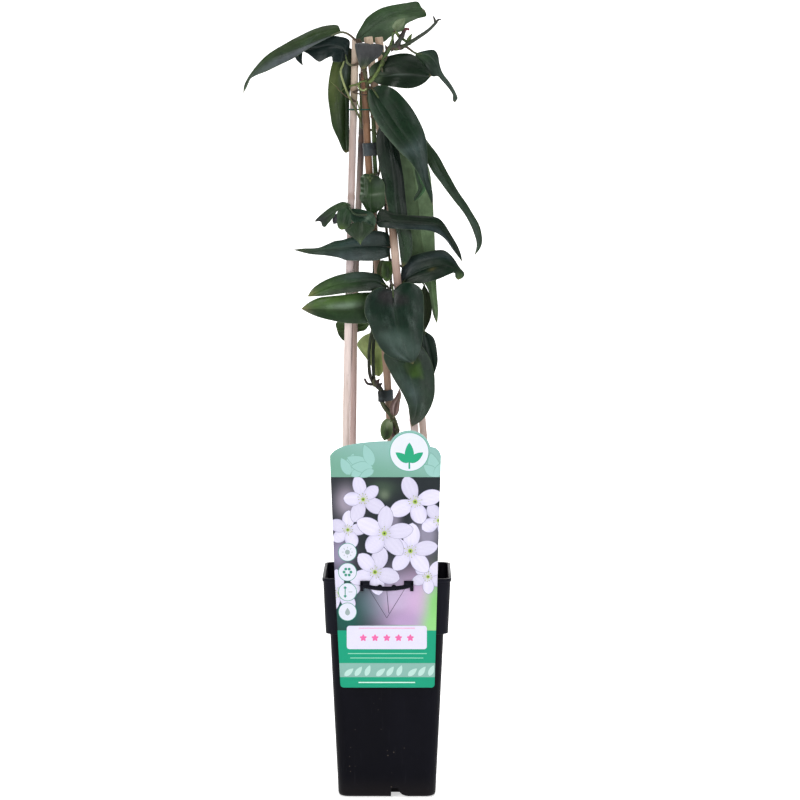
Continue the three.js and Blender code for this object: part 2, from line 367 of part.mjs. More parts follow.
// ---------------------------------------------------------------------------------------------
// Solids
// ---------------------------------------------------------------------------------------------

const vec = ([x, y, z]) => new THREE.Vector3(x, y, z);

// A three.js geometry as a solid that can be cut and joined.
function solid(geometry) {
  const bare = geometry.clone();
  bare.deleteAttribute('normal');
  bare.deleteAttribute('uv');
  const merged = mergeVertices(bare, 1e-4);
  const mesh = new wasm.Mesh({
    numProp: 3,
    vertProperties: new Float32Array(merged.attributes.position.array),
    triVerts: new Uint32Array(merged.index.array),
  });
  return new wasm.Manifold(mesh);
}

function surface(body) {
  const mesh = body.getMesh();
  const geometry = new THREE.BufferGeometry();
  geometry.setAttribute('position', new THREE.BufferAttribute(new Float32Array(mesh.vertProperties), 3));
  geometry.setIndex(new THREE.BufferAttribute(new Uint32Array(mesh.triVerts), 1));
  geometry.computeVertexNormals();
  return geometry;
}

const group = new THREE.Group();
group.name = 'clematis_in_pot';

function addPart(name, body, color, roughness) {
  const material = new THREE.MeshStandardMaterial({ color, roughness, metalness: 0 });
  const mesh = new THREE.Mesh(surface(body), material);
  mesh.name = name;
  group.add(mesh);
}

const smoothCurve = (points) => new THREE.CatmullRomCurve3(points.map(vec), false, 'centripetal');

function disc(radius, sides) {
  const shape = new THREE.Shape();
  for (let i = 0; i < sides; i++) {
    const a = (2 * Math.PI * i) / sides;
    shape[i ? 'lineTo' : 'moveTo'](radius * Math.cos(a), radius * Math.sin(a));
  }
  return shape;
}

// A round rod along a smooth path.
function rod(path, radius, steps, sides) {
  return solid(new THREE.ExtrudeGeometry(disc(radius, sides), {
    extrudePath: smoothCurve(path), steps, bevelEnabled: false,
  }));
}

// An upright slab: an outline drawn in X and Z, filling frontY..backY.
function upright(outline, frontY, backY, curveSegments) {
  const depth = backY - frontY;
  const geometry = new THREE.ExtrudeGeometry(outline, { depth, bevelEnabled: false, curveSegments });
  geometry.rotateX(Math.PI / 2);
  geometry.translate(0, backY, 0);
  return solid(geometry);
}

// Rings of equal point count, joined into one closed skin with flat ends.
function loft(rings) {
  const count = rings[0].length;
  const positions = [];
  const index = [];
  rings.flat().forEach((p) => positions.push(p.x, p.y, p.z));
  for (let r = 0; r + 1 < rings.length; r++) {
    for (let i = 0; i < count; i++) {
      const a = r * count + i;
      const b = r * count + ((i + 1) % count);
      index.push(a, b, b + count, a, b + count, a + count);
    }
  }
  const last = (rings.length - 1) * count;
  for (let i = 1; i + 1 < count; i++) {
    index.push(0, i + 1, i);
    index.push(last, last + i, last + i + 1);
  }
  const geometry = new THREE.BufferGeometry();
  geometry.setAttribute('position', new THREE.Float32BufferAttribute(positions, 3));
  geometry.setIndex(index);
  return solid(geometry);
}

// ---------------------------------------------------------------------------------------------
// Pot
// ---------------------------------------------------------------------------------------------

const CORNER_STEPS = 4;

function squareRing(half, corner, z) {
  const ring = [];
  for (let quadrant = 0; quadrant < 4; quadrant++) {
    const middle = (Math.PI / 2) * quadrant + Math.PI / 4;
    const centre = new THREE.Vector2(Math.sign(Math.cos(middle)), Math.sign(Math.sin(middle)));
    centre.multiplyScalar(half - corner);
    for (let i = 0; i <= CORNER_STEPS; i++) {
      const a = (Math.PI / 2) * (quadrant + i / CORNER_STEPS);
      ring.push(new THREE.Vector3(centre.x + corner * Math.cos(a), centre.y + corner * Math.sin(a), z));
    }
  }
  return ring;
}

const squareLoft = (levels) => loft(levels.map(([z, half, corner]) => squareRing(half, corner, z)));

// Half width of the cavity at a height of the tapered body.
function cavityHalf(z) {
  const taper = (BODY_TOP_HALF - BASE_HALF) / COLLAR_FOOT;
  return BASE_HALF + taper * z - WALL;
}

const INNER_CORNER = CORNER - WALL;
const LEDGE_TOP = COLLAR_FOOT + WALL;

function potCavity(shrink, floor, top) {
  const collarTaper = (COLLAR_TOP_HALF - COLLAR_FOOT_HALF) / (LIP_FOOT - COLLAR_FOOT);
  const collarHalf = (z) => COLLAR_FOOT_HALF - WALL + collarTaper * (z - COLLAR_FOOT);
  return squareLoft([
    [floor, cavityHalf(floor) - shrink, INNER_CORNER],
    [LEDGE_TOP + shrink, cavityHalf(LEDGE_TOP) - shrink, INNER_CORNER],
    [LEDGE_TOP + shrink, collarHalf(LEDGE_TOP) - shrink, INNER_CORNER],
    [top, collarHalf(top) - shrink, INNER_CORNER],
  ]);
}

// The drain channel seen from the front: upright on its left, curving out to the ground on its right.
const CHANNEL_LEFT = 3.5;
const CHANNEL_RIGHT = 9.4;
const CHANNEL_TOE = 18;

function channelBlock(grow, innerEnd, outerEnd) {
  const shape = new THREE.Shape();
  const foot = grow > 0 ? FLOOR_TOP / 2 : -1;
  shape.moveTo(CHANNEL_LEFT - grow, foot);
  shape.lineTo(CHANNEL_TOE + grow, foot);
  shape.lineTo(CHANNEL_TOE + grow, 0.3 + grow);
  shape.quadraticCurveTo(CHANNEL_RIGHT + grow + 1.6, 1 + grow, CHANNEL_RIGHT + grow, CHANNEL_HEIGHT + grow);
  shape.lineTo(CHANNEL_LEFT - grow, CHANNEL_HEIGHT + grow);
  shape.closePath();
  return upright(shape, -outerEnd, -innerEnd, 3);
}

const quarterTurns = (body) => [0, 90, 180, 270].map((angle) => body.rotate([0, 0, angle]));

// The moulded bar that the card hangs on: a bowed strip with two studs, end blocks and hooked ends.
const BAR_HALF_LENGTH = 22.3;
const BAR_BOW = 3.4; // how far the strip's middle hangs below its ends
const BAR_STRIP = 3;
const BAR_STRIP_DROP = 1.6; // the strip's ends are below the end blocks' tops
const BAR_END_HEIGHT = 3.4;
const BAR_END_WIDTH = 7.4;
const BAR_HOOK_WIDTH = 2.2;
const BAR_HOOK_DROP = 8.4;
const BAR_STUD_X = 6;
const BAR_STUD_RADIUS = 2.2;

function barOutline(grow) {
  const bowRadius = (BAR_HALF_LENGTH ** 2 + BAR_BOW ** 2) / (2 * BAR_BOW);
  const stripTop = LABEL_BAR_Z - BAR_STRIP_DROP;
  const bow = (x) => stripTop - BAR_BOW + bowRadius - Math.sqrt(bowRadius ** 2 - x ** 2);
  const strip = [];
  const spans = 8;
  const reach = BAR_HALF_LENGTH + grow;
  for (let i = 0; i <= spans; i++) {
    const x = -reach + (2 * reach * i) / spans;
    strip.push(new THREE.Vector2(x, bow(Math.min(Math.abs(x), BAR_HALF_LENGTH)) + grow));
  }
  for (let i = spans; i >= 0; i--) {
    const x = -reach + (2 * reach * i) / spans;
    strip.push(new THREE.Vector2(x, bow(Math.min(Math.abs(x), BAR_HALF_LENGTH)) - BAR_STRIP - grow));
  }
  const outlines = [new THREE.Shape(strip)];
  const block = (left, right, bottom, top) => outlines.push(new THREE.Shape([
    new THREE.Vector2(left - grow, bottom - grow), new THREE.Vector2(right + grow, bottom - grow),
    new THREE.Vector2(right + grow, top + grow), new THREE.Vector2(left - grow, top + grow)]));
  for (const side of [-1, 1]) {
    const outer = side * BAR_HALF_LENGTH;
    const inner = side * (BAR_HALF_LENGTH - BAR_END_WIDTH);
    block(Math.min(outer, inner), Math.max(outer, inner), LABEL_BAR_Z - BAR_END_HEIGHT, LABEL_BAR_Z);
    const hook = side * (BAR_HALF_LENGTH - BAR_HOOK_WIDTH);
    block(Math.min(outer, hook), Math.max(outer, hook), LABEL_BAR_Z - BAR_HOOK_DROP, LABEL_BAR_Z - 1);
    const stud = new THREE.Shape();
    stud.absarc(side * BAR_STUD_X, bow(BAR_STUD_X) - 0.4, BAR_STUD_RADIUS + grow, 0, 2 * Math.PI);
    outlines.push(stud);
  }
  return outlines;
}

function plate(outlines, frontY, backY) {
  const bodies = outlines.map((outline) => upright(outline, frontY, backY, 6));
  return bodies.reduce((all, body) => all.add(body));
}

function makePot() {
  let pot = squareLoft([
    [0, BASE_HALF - BASE_BEVEL, CORNER], [BASE_BEVEL, BASE_HALF, CORNER],
      [COLLAR_FOOT, BODY_TOP_HALF, CORNER],
    [COLLAR_FOOT, COLLAR_FOOT_HALF, CORNER], [LIP_FOOT, COLLAR_TOP_HALF, CORNER],
    [LIP_FOOT, LIP_HALF, CORNER], [POT_HEIGHT, LIP_HALF, CORNER],
  ]);
  pot = pot.subtract(potCavity(0, FLOOR_TOP, POT_HEIGHT + 1));
  pot = pot.add(plate(barOutline(0), LABEL_BAR_FRONT_Y, -COLLAR_TOP_HALF + 1));
  const ridge = channelBlock(WALL, CHANNEL_INNER_END - WALL, BASE_HALF - 1);
  const channel = channelBlock(0, CHANNEL_INNER_END, BASE_HALF + 5);
  for (const turned of quarterTurns(ridge)) pot = pot.add(turned);
  for (const turned of quarterTurns(channel)) pot = pot.subtract(turned);
  const hole = new THREE.CylinderGeometry(DRAIN_HOLE_RADIUS, DRAIN_HOLE_RADIUS, 8, 8);
  hole.rotateX(Math.PI / 2);
  const channelMiddle = (CHANNEL_LEFT + CHANNEL_RIGHT) / 2;
  hole.translate(channelMiddle, -(CHANNEL_INNER_END + DRAIN_HOLE_INSET), CHANNEL_HEIGHT);
  for (const drain of quarterTurns(solid(hole))) pot = pot.subtract(drain);
  return pot;
}

// ---------------------------------------------------------------------------------------------
// Card label
// ---------------------------------------------------------------------------------------------

// Outline of the die-cut card: it widens upwards, and a round tab rises above its bowed top edge.
const CARD_FOOT = 97;
const TAB_X = 19.1;
const TAB_Z = 298.6;
const TAB_RADIUS = 18.2;

function cardOutline() {
  const shape = new THREE.Shape();
  shape.moveTo(-38, CARD_FOOT);
  shape.lineTo(39.3, CARD_FOOT);
  shape.quadraticCurveTo(40.4, CARD_FOOT, 40.5, 99.5);
  shape.lineTo(43.4, 206);
  shape.lineTo(45.9, 295);
  shape.quadraticCurveTo(45, 299.5, 41, 302);
  shape.lineTo(36.6, 303);
  shape.absarc(TAB_X, TAB_Z, TAB_RADIUS, 0.25, Math.PI - 0.52, false);
  shape.quadraticCurveTo(-20, 307.6, -36, 303.4);
  shape.quadraticCurveTo(-45, 300.5, -48.1, 295);
  shape.lineTo(-44.7, 205);
  shape.lineTo(-39.4, 99.5);
  shape.quadraticCurveTo(-39.2, CARD_FOOT, -38, CARD_FOOT);
  return shape;
}

function makeCard() {
  const front = CARD_BACK_Y - CARD_THICKNESS;
  const slot = plate(barOutline(GAP), front - 2, CARD_BACK_Y + 2);
  return plate([cardOutline()], front, CARD_BACK_Y).subtract(slot);
}

// ---------------------------------------------------------------------------------------------
// Canes, wire and clips
// ---------------------------------------------------------------------------------------------

const CANE_STEPS = 14;
const CANE_SIDES = 10;
const FACET_EASE = 0.15; // extra clearance round a faceted rod

// A path with its foot lowered by the clearance, for the hole that holds the piece.
const lowered = ([[x, y, z], ...rest]) => [[x, y, z - GAP], ...rest];

const makeCane = (cane) => rod(cane.path, cane.radius, CANE_STEPS, CANE_SIDES);
const makeCaneHole = (cane) => rod(lowered(cane.path), cane.radius + GAP, CANE_STEPS, CANE_SIDES);

// Where a path stands at a height.
function pointAtHeight(path, z) {
  const curve = smoothCurve(path);
  let low = 0;
  let high = 1;
  for (let i = 0; i < 30; i++) {
    const middle = (low + high) / 2;
    if (curve.getPoint(middle).z < z) low = middle;
    else high = middle;
  }
  return curve.getPoint(low);
}

const caneNamed = (name) => CANES.find((cane) => cane.name === name);

// The canes that the tie bears on in turn, with the directions in which it touches each of them.
const WIRE_ROUND = [
  { cane: 'cane_back_right', degrees: [70, 88] },
  { cane: 'cane_back_left', degrees: [95, 130, 165, 195] },
  { cane: 'cane_front_left', degrees: [170, 200, 230, 260] },
  { cane: 'cane_front_right', degrees: [270, 300, 325, 345] },
  { cane: 'cane_back_right', degrees: [-25, 5, 35, 65, 92] },
];
const WIRE_TAIL = 8; // length of the free end
const WIRE_STEPS = 44;

// The tie runs once round the four outer canes and laps over its own start at the back.
function makeWire() {
  const points = [];
  for (const { cane, degrees } of WIRE_ROUND) {
    const { radius, path } = caneNamed(cane);
    const centre = pointAtHeight(path, WIRE_Z);
    const reach = radius + GAP + WIRE_RADIUS + FACET_EASE;
    for (const degree of degrees) {
      const a = THREE.MathUtils.degToRad(degree);
      points.push([centre.x + reach * Math.cos(a), centre.y + reach * Math.sin(a), WIRE_Z]);
    }
  }
  const lap = 2 * WIRE_RADIUS + GAP;
  points[0][2] -= lap;
  points[1][2] -= lap;
  const [x, y, z] = points[points.length - 1];
  points.push([x - WIRE_TAIL, y + GAP, z + GAP]);
  return rod(points, WIRE_RADIUS, WIRE_STEPS, 6);
}

// A clip is a band round the centre cane and the stem beside it.
function makeClip(z, height) {
  const cane = caneNamed('cane_centre');
  const below = pointAtHeight(cane.path, z - height / 2);
  const above = pointAtHeight(cane.path, z + height / 2);
  const stem = pointAtHeight(STEM_MAIN.path, z);
  const caneMiddle = below.clone().add(above).divideScalar(2);
  const across = new THREE.Vector2(stem.x - caneMiddle.x, stem.y - caneMiddle.y);
  const distance = across.length();
  const clearance = GAP + FACET_EASE;
  const band = (extra) => {
    const big = cane.radius + clearance + extra;
    const small = STEM_MAIN.radius + clearance + CLIP_STEM_EASE + extra;
    const tilt = Math.acos((big - small) / distance);
    const shape = new THREE.Shape();
    shape.absarc(0, 0, big, tilt, 2 * Math.PI - tilt, false);
    shape.absarc(distance, 0, small, -tilt, tilt, false);
    return shape;
  };
  const outer = band(CLIP_WALL);
  outer.holes.push(new THREE.Path(band(0).getPoints(5)));
  const options = { depth: height, bevelEnabled: false, curveSegments: 5 };
  const geometry = new THREE.ExtrudeGeometry(outer, options);
  geometry.translate(0, 0, -height / 2);
  geometry.rotateZ(Math.atan2(across.y, across.x));
  const lean = new THREE.Quaternion();
  lean.setFromUnitVectors(new THREE.Vector3(0, 0, 1), above.clone().sub(below).normalize());
  geometry.applyQuaternion(lean);
  geometry.translate(caneMiddle.x, caneMiddle.y, z);
  return solid(geometry);
}

// ---------------------------------------------------------------------------------------------
// Stems and tendril
// ---------------------------------------------------------------------------------------------

const STEM_SIDES = 6;
const STALK_SIDES = 5;
const STEPS_PER_POINT = 2;

function makeStem(stem, grow) {
  const steps = (stem.path.length - 1) * STEPS_PER_POINT;
  return rod(stem.path, stem.radius + grow, steps, STEM_SIDES);
}

function tendrilPath() {
  const cane = caneNamed(TENDRIL.around);
  const reach = cane.radius + TENDRIL.radius + GAP + FACET_EASE;
  const points = 10;
  const coil = [];
  for (let i = 0; i <= points; i++) {
    const z = THREE.MathUtils.lerp(TENDRIL.top, TENDRIL.bottom, i / points);
    const centre = pointAtHeight(cane.path, z);
    const a = THREE.MathUtils.degToRad(TENDRIL.startDegrees + TENDRIL.sweepDegrees * (i / points));
    coil.push([centre.x + reach * Math.cos(a), centre.y + reach * Math.sin(a), z]);
  }
  return [...TENDRIL.lead, ...coil, ...TENDRIL.tail];
}

// ---------------------------------------------------------------------------------------------
// Leaves
// ---------------------------------------------------------------------------------------------

// Stations along a blade as fractions of its length: closer together at the base and the tip.
const STATIONS = [0.05, 0.17, 0.34, 0.52, 0.7, 0.86, 0.96];

// A blade is a thin skin of two panels that meet along the midrib, closed to a point at each end.
function makeBlade({ rib, left, right }) {
  const base = rib[0];
  const tip = rib[rib.length - 1];
  const ribCurve = smoothCurve(rib);
  const leftCurve = smoothCurve([base, ...left, tip]);
  const rightCurve = smoothCurve([base, ...right, tip]);
  const rings = STATIONS.map((t) => {
    const l = leftCurve.getPointAt(t);
    const m = ribCurve.getPointAt(t);
    const r = rightCurve.getPointAt(t);
    const along = ribCurve.getTangentAt(t);
    const lift = r.clone().sub(l).cross(along).normalize().multiplyScalar(LEAF_THICKNESS / 2);
    const up = [l, m, r].map((p) => p.clone().add(lift));
    const down = [r, m, l].map((p) => p.clone().sub(lift));
    return [...up, ...down];
  });
  const point = (p) => Array.from({ length: 6 }, () => vec(p));
  const skin = [point(base), ...rings, point(tip)];
  const positions = [];
  const index = [];
  skin.flat().forEach((p) => positions.push(p.x, p.y, p.z));
  for (let s = 0; s + 1 < skin.length; s++) {
    for (let i = 0; i < 6; i++) {
      const a = s * 6 + i;
      const b = s * 6 + ((i + 1) % 6);
      const under = i === 3 || i === 4; // cut along the same diagonal as the panel above it
      if (s > 0) index.push(a, b, under ? b + 6 : a + 6);
      if (s + 2 < skin.length) index.push(under ? a : b, b + 6, a + 6);
    }
  }
  const geometry = new THREE.BufferGeometry();
  geometry.setAttribute('position', new THREE.Float32BufferAttribute(positions, 3));
  geometry.setIndex(index);
  return solid(geometry);
}

function makeLeaf(leaf, stemClearance) {
  const blades = leaf.blades.map(makeBlade);
  const heart = smoothCurve(leaf.blades[0].rib).getPointAt(STALK_OVERLAP).toArray();
  const stalks = leaf.stalks.map((path, i) => {
    const route = i ? path : [heart, ...path];
    return rod(route, STALK_RADIUS, (route.length - 1) * STEPS_PER_POINT, STALK_SIDES);
  });
  return [...blades, ...stalks].reduce((all, body) => all.add(body)).subtract(stemClearance);
}

// ---------------------------------------------------------------------------------------------
// Assembly
// ---------------------------------------------------------------------------------------------

addPart('pot', makePot(), COLOURS.pot, 0.5);

for (const cane of CANES) {
  addPart(cane.name, makeCane(cane), cane.name === 'cane_centre' ? COLOURS.caneTan : COLOURS.cane, 0.6);
}

let soil = potCavity(GAP, FLOOR_TOP + GAP, SOIL_TOP);
const ridgeHole = channelBlock(WALL + GAP, CHANNEL_INNER_END - WALL - GAP, BASE_HALF + 5);
for (const turned of quarterTurns(ridgeHole)) soil = soil.subtract(turned);
for (const cane of CANES) soil = soil.subtract(makeCaneHole(cane));
const buriedStem = lowered(STEM_MAIN.path.slice(0, 4));
soil = soil.subtract(rod(buriedStem, STEM_MAIN.radius + GAP + STEM_HOLE_EASE, 9, STEM_SIDES));
addPart('soil', soil, COLOURS.soil, 0.95);

addPart('label_card', makeCard(), COLOURS.card, 0.4);
addPart('tie_wire', makeWire(), COLOURS.wire, 0.5);
for (const clip of CLIPS) addPart(clip.name, makeClip(clip.z, clip.height), COLOURS.clip, 0.6);

const mainStem = makeStem(STEM_MAIN, 0).add(makeStem(STEM_STUB, 0));
addPart('stem_main', mainStem, COLOURS.bark, 0.7);
const mainClearance = makeStem(STEM_MAIN, GAP);

const forkClearance = mainClearance.add(makeStem(STEM_STUB, GAP));
addPart('stem_side', makeStem(STEM_SIDE, 0).subtract(forkClearance), COLOURS.bark, 0.7);
const sideClearance = makeStem(STEM_SIDE, GAP);

const topShoot = TOP_TWIGS.reduce((all, twig) => all.add(makeStem(twig, 0)), makeStem(STEM_TOP, 0));
addPart('stem_top', topShoot.subtract(mainClearance), COLOURS.shoot, 0.6);
const topClearance = TOP_TWIGS.reduce((all, twig) => all.add(makeStem(twig, GAP)), makeStem(STEM_TOP, GAP));

const TENDRIL_STEPS = 40;
const tendril = rod(tendrilPath(), TENDRIL.radius, TENDRIL_STEPS, 6);
addPart('tendril', tendril.subtract(topClearance.add(mainClearance)), COLOURS.shoot, 0.6);

const clearances = { stem_main: mainClearance, stem_side: sideClearance, stem_top: topClearance };
for (const leaf of LEAVES) {
  addPart(leaf.name, makeLeaf(leaf, clearances[leaf.stem]), COLOURS[leaf.tone], 0.5);
}

export default group;
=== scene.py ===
"""Looks of the potted evergreen clematis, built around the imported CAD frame.

Shape tables are in millimetres in the CAD frame: +Z up, the label on the -Y side.
"""

import math
import random
from itertools import combinations

import bpy
import numpy as np
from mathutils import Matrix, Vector, geometry, noise


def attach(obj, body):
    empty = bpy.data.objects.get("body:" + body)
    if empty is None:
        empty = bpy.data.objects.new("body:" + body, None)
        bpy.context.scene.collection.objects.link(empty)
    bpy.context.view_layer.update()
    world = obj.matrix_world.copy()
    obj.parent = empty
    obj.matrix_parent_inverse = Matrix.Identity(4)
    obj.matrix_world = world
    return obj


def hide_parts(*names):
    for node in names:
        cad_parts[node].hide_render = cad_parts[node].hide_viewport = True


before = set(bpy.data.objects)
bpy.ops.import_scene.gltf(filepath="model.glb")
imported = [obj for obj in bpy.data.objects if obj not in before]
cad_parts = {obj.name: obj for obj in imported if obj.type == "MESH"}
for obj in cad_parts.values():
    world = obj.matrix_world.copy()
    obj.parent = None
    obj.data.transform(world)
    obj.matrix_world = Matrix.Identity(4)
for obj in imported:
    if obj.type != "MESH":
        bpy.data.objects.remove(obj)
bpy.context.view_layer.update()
MM = 0.001


# ----------------------------------------------------------------------------------------------
# Colours and small number helpers
# ----------------------------------------------------------------------------------------------

def srgb(red, green, blue):
    """A screen colour, 0 to 255, as linear light."""
    value = np.array([red, green, blue], float) / 255
    return np.where(value <= 0.04045, value / 12.92, ((value + 0.055) / 1.055) ** 2.4)


def rgba(colour):
    return (*[float(c) for c in colour], 1.0)


def smooth_step(value, low, high):
    t = np.clip((np.asarray(value, float) - low) / (high - low), 0, 1)
    return t * t * (3 - 2 * t)


def blend(a, b, share):
    share = np.asarray(share, float)[..., None]
    return a * (1 - share) + b * share


def between(at, stops, rows):
    """Rows of three numbers, such as colours or points, read between the stops where they stand."""
    rows = np.asarray(rows, float)
    return np.stack([np.interp(at, stops, rows[:, k]) for k in range(3)], axis=-1)


def bumps(points, size, seed):
    """Smooth noise from -1 to 1 at each point; size is the width of one bump in mm."""
    shift = Vector((seed * 13.7, seed * 7.1, seed * 3.3))
    return np.array([noise.noise(Vector(p) / size + shift) for p in points])


# ----------------------------------------------------------------------------------------------
# Paths and meshes
# ----------------------------------------------------------------------------------------------

def dense_path(points, steps=16):
    """A centripetal Catmull-Rom curve through the points, sampled finely."""
    p = np.array(points, float)
    p = np.vstack([2 * p[0] - p[1], p, 2 * p[-1] - p[-2]])
    made = []
    for p0, p1, p2, p3 in zip(p, p[1:], p[2:], p[3:]):
        d0, d1, d2 = [max(np.linalg.norm(b - a), 1e-6) ** 0.5 for a, b in ((p0, p1), (p1, p2), (p2, p3))]
        m1 = ((p1 - p0) / d0 - (p2 - p0) / (d0 + d1) + (p2 - p1) / d1) * d1
        m2 = ((p2 - p1) / d1 - (p3 - p1) / (d1 + d2) + (p3 - p2) / d2) * d1
        for t in np.arange(steps) / steps:
            h = (2 * t**3 - 3 * t**2 + 1, t**3 - 2 * t**2 + t, -2 * t**3 + 3 * t**2, t**3 - t**2)
            made.append(h[0] * p1 + h[1] * m1 + h[2] * p2 + h[3] * m2)
    made.append(p[-2])
    return np.array(made)


def path_at(points, shares):
    """Points at the given shares, 0 to 1, of a smooth path's length."""
    dense = dense_path(points)
    lengths = np.concatenate([[0], np.cumsum(np.linalg.norm(np.diff(dense, axis=0), axis=1))])
    want = np.asarray(shares, float) * lengths[-1]
    return between(want, lengths, dense)


def path_length(points):
    return float(np.linalg.norm(np.diff(dense_path(points), axis=0), axis=1).sum())


def even_path(points, spacing):
    count = max(3, int(round(path_length(points) / spacing)) + 1)
    return path_at(points, np.linspace(0, 1, count))


def unit(v):
    v = np.asarray(v, float)
    return v / np.maximum(np.linalg.norm(v, axis=-1, keepdims=True), 1e-9)


def point_at_height(points, z):
    """Where a rising path stands at a height."""
    dense = dense_path(points)
    return between(z, dense[:, 2], dense)


def grid_faces(rows, columns, closed=False):
    """Quads between neighbouring rows of points; a closed row joins its last point to its first."""
    faces = []
    for r in range(rows - 1):
        for c in range(columns if closed else columns - 1):
            a = r * columns + c
            b = r * columns + (c + 1) % columns
            faces.append((a, b, b + columns, a + columns))
    return faces


def add_object(name, data):
    made = bpy.data.objects.new(name, data)
    bpy.context.scene.collection.objects.link(made)
    return made


class Build:
    """Points, faces and values for each point, gathered for one mesh."""

    def __init__(self):
        self.points, self.tint, self.form, self.flat = [], [], [], []
        self.faces, self.slots = [], []

    def add(self, points, faces, tint, form=(0, 0, 0), flat=(0, 0, 0), slot=0):
        points = np.asarray(points, float)
        start = sum(len(p) for p in self.points)
        self.points.append(points)
        self.tint.append(np.broadcast_to(tint, points.shape))
        self.form.append(np.broadcast_to(form, points.shape))
        self.flat.append(np.broadcast_to(flat, points.shape))
        self.faces += [tuple(start + i for i in face) for face in faces]
        self.slots += [slot] * len(faces)

    def piece(self, name, materials, replaces=(), sharp=50):
        """Makes the object, which rides on the plant's one body."""
        mesh = bpy.data.meshes.new(name)
        mesh.from_pydata((np.vstack(self.points) * MM).tolist(), [], self.faces)
        colours = np.ones((len(mesh.vertices), 4))
        colours[:, :3] = np.vstack(self.tint)
        mesh.color_attributes.new("tint", "FLOAT_COLOR", "POINT").data.foreach_set("color", colours.ravel())
        for key, values in (("form", self.form), ("flat", self.flat)):
            vectors = mesh.attributes.new(key, "FLOAT_VECTOR", "POINT")
            vectors.data.foreach_set("vector", np.vstack(values).ravel())
        mesh.polygons.foreach_set("material_index", self.slots)
        for material in materials:
            mesh.materials.append(material)
        mesh.shade_smooth()
        mesh.set_sharp_from_angle(angle=math.radians(sharp))
        made = add_object(name, mesh)
        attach(made, "root")
        if replaces:
            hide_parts(*replaces)
        return made


def rings_along(path, radius, sides, flutes=0, flute_depth=0.0):
    """Rings of a round or fluted rod along a path; its radius may vary."""
    path = np.asarray(path, float)
    radius = np.broadcast_to(np.asarray(radius, float), len(path))
    along = unit(np.gradient(path, axis=0))
    side = unit(np.cross(along[0], (0.3, 0.9, 0.1) if abs(along[0][2]) > 0.9 else (0, 0, 1)))
    angles = np.linspace(0, 2 * math.pi, sides, endpoint=False)
    profile = (1 + flute_depth * np.cos(flutes * angles))[:, None]
    rings = []
    for centre, forward, r in zip(path, along, radius):
        side = unit(side - forward * np.dot(side, forward))
        other = np.cross(forward, side)
        spokes = np.outer(np.cos(angles), side) + np.outer(np.sin(angles), other)
        rings.append(centre + r * profile * spokes)
    return rings


def lofted(rings):
    """Closed skin over rings of equal point count; the last two points are the middles of its ends."""
    count = len(rings[0])
    points = np.vstack([*rings, [rings[0].mean(axis=0), rings[-1].mean(axis=0)]])
    faces = grid_faces(len(rings), count, closed=True)
    first, last = len(points) - 2, len(points) - 1
    top = (len(rings) - 1) * count
    for c in range(count):
        d = (c + 1) % count
        faces.append((first, d, c))
        faces.append((last, top + c, top + d))
    return points, faces


def spread(per_ring, sides):
    """One value for each ring, given to all the points of a loft."""
    per_ring = np.asarray(per_ring, float)
    return np.concatenate([np.repeat(per_ring, sides, axis=0), per_ring[:1], per_ring[-1:]])


# A rod's eased end: how far it reaches past the path, and its girth there, as shares of the radius.
END_REACH = 0.4
END_GIRTH = 0.6


def tube(path, radius, sides=10, flutes=0, flute_depth=0.0):
    """A rod along a path with eased ends; it has two rings more than the path has points."""
    path = np.asarray(path, float)
    radius = np.broadcast_to(np.asarray(radius, float), len(path))
    first = unit(path[0] - path[1]) * radius[0] * END_REACH
    last = unit(path[-1] - path[-2]) * radius[-1] * END_REACH
    path = np.vstack([path[0] + first, path, path[-1] + last])
    radius = np.concatenate([radius[:1] * END_GIRTH, radius, radius[-1:] * END_GIRTH])
    return lofted(rings_along(path, radius, sides, flutes, flute_depth))


def tube_values(per_ring, sides):
    per_ring = np.asarray(per_ring, float)
    return spread(np.concatenate([per_ring[:1], per_ring, per_ring[-1:]]), sides)


# ----------------------------------------------------------------------------------------------
# Materials
# ----------------------------------------------------------------------------------------------

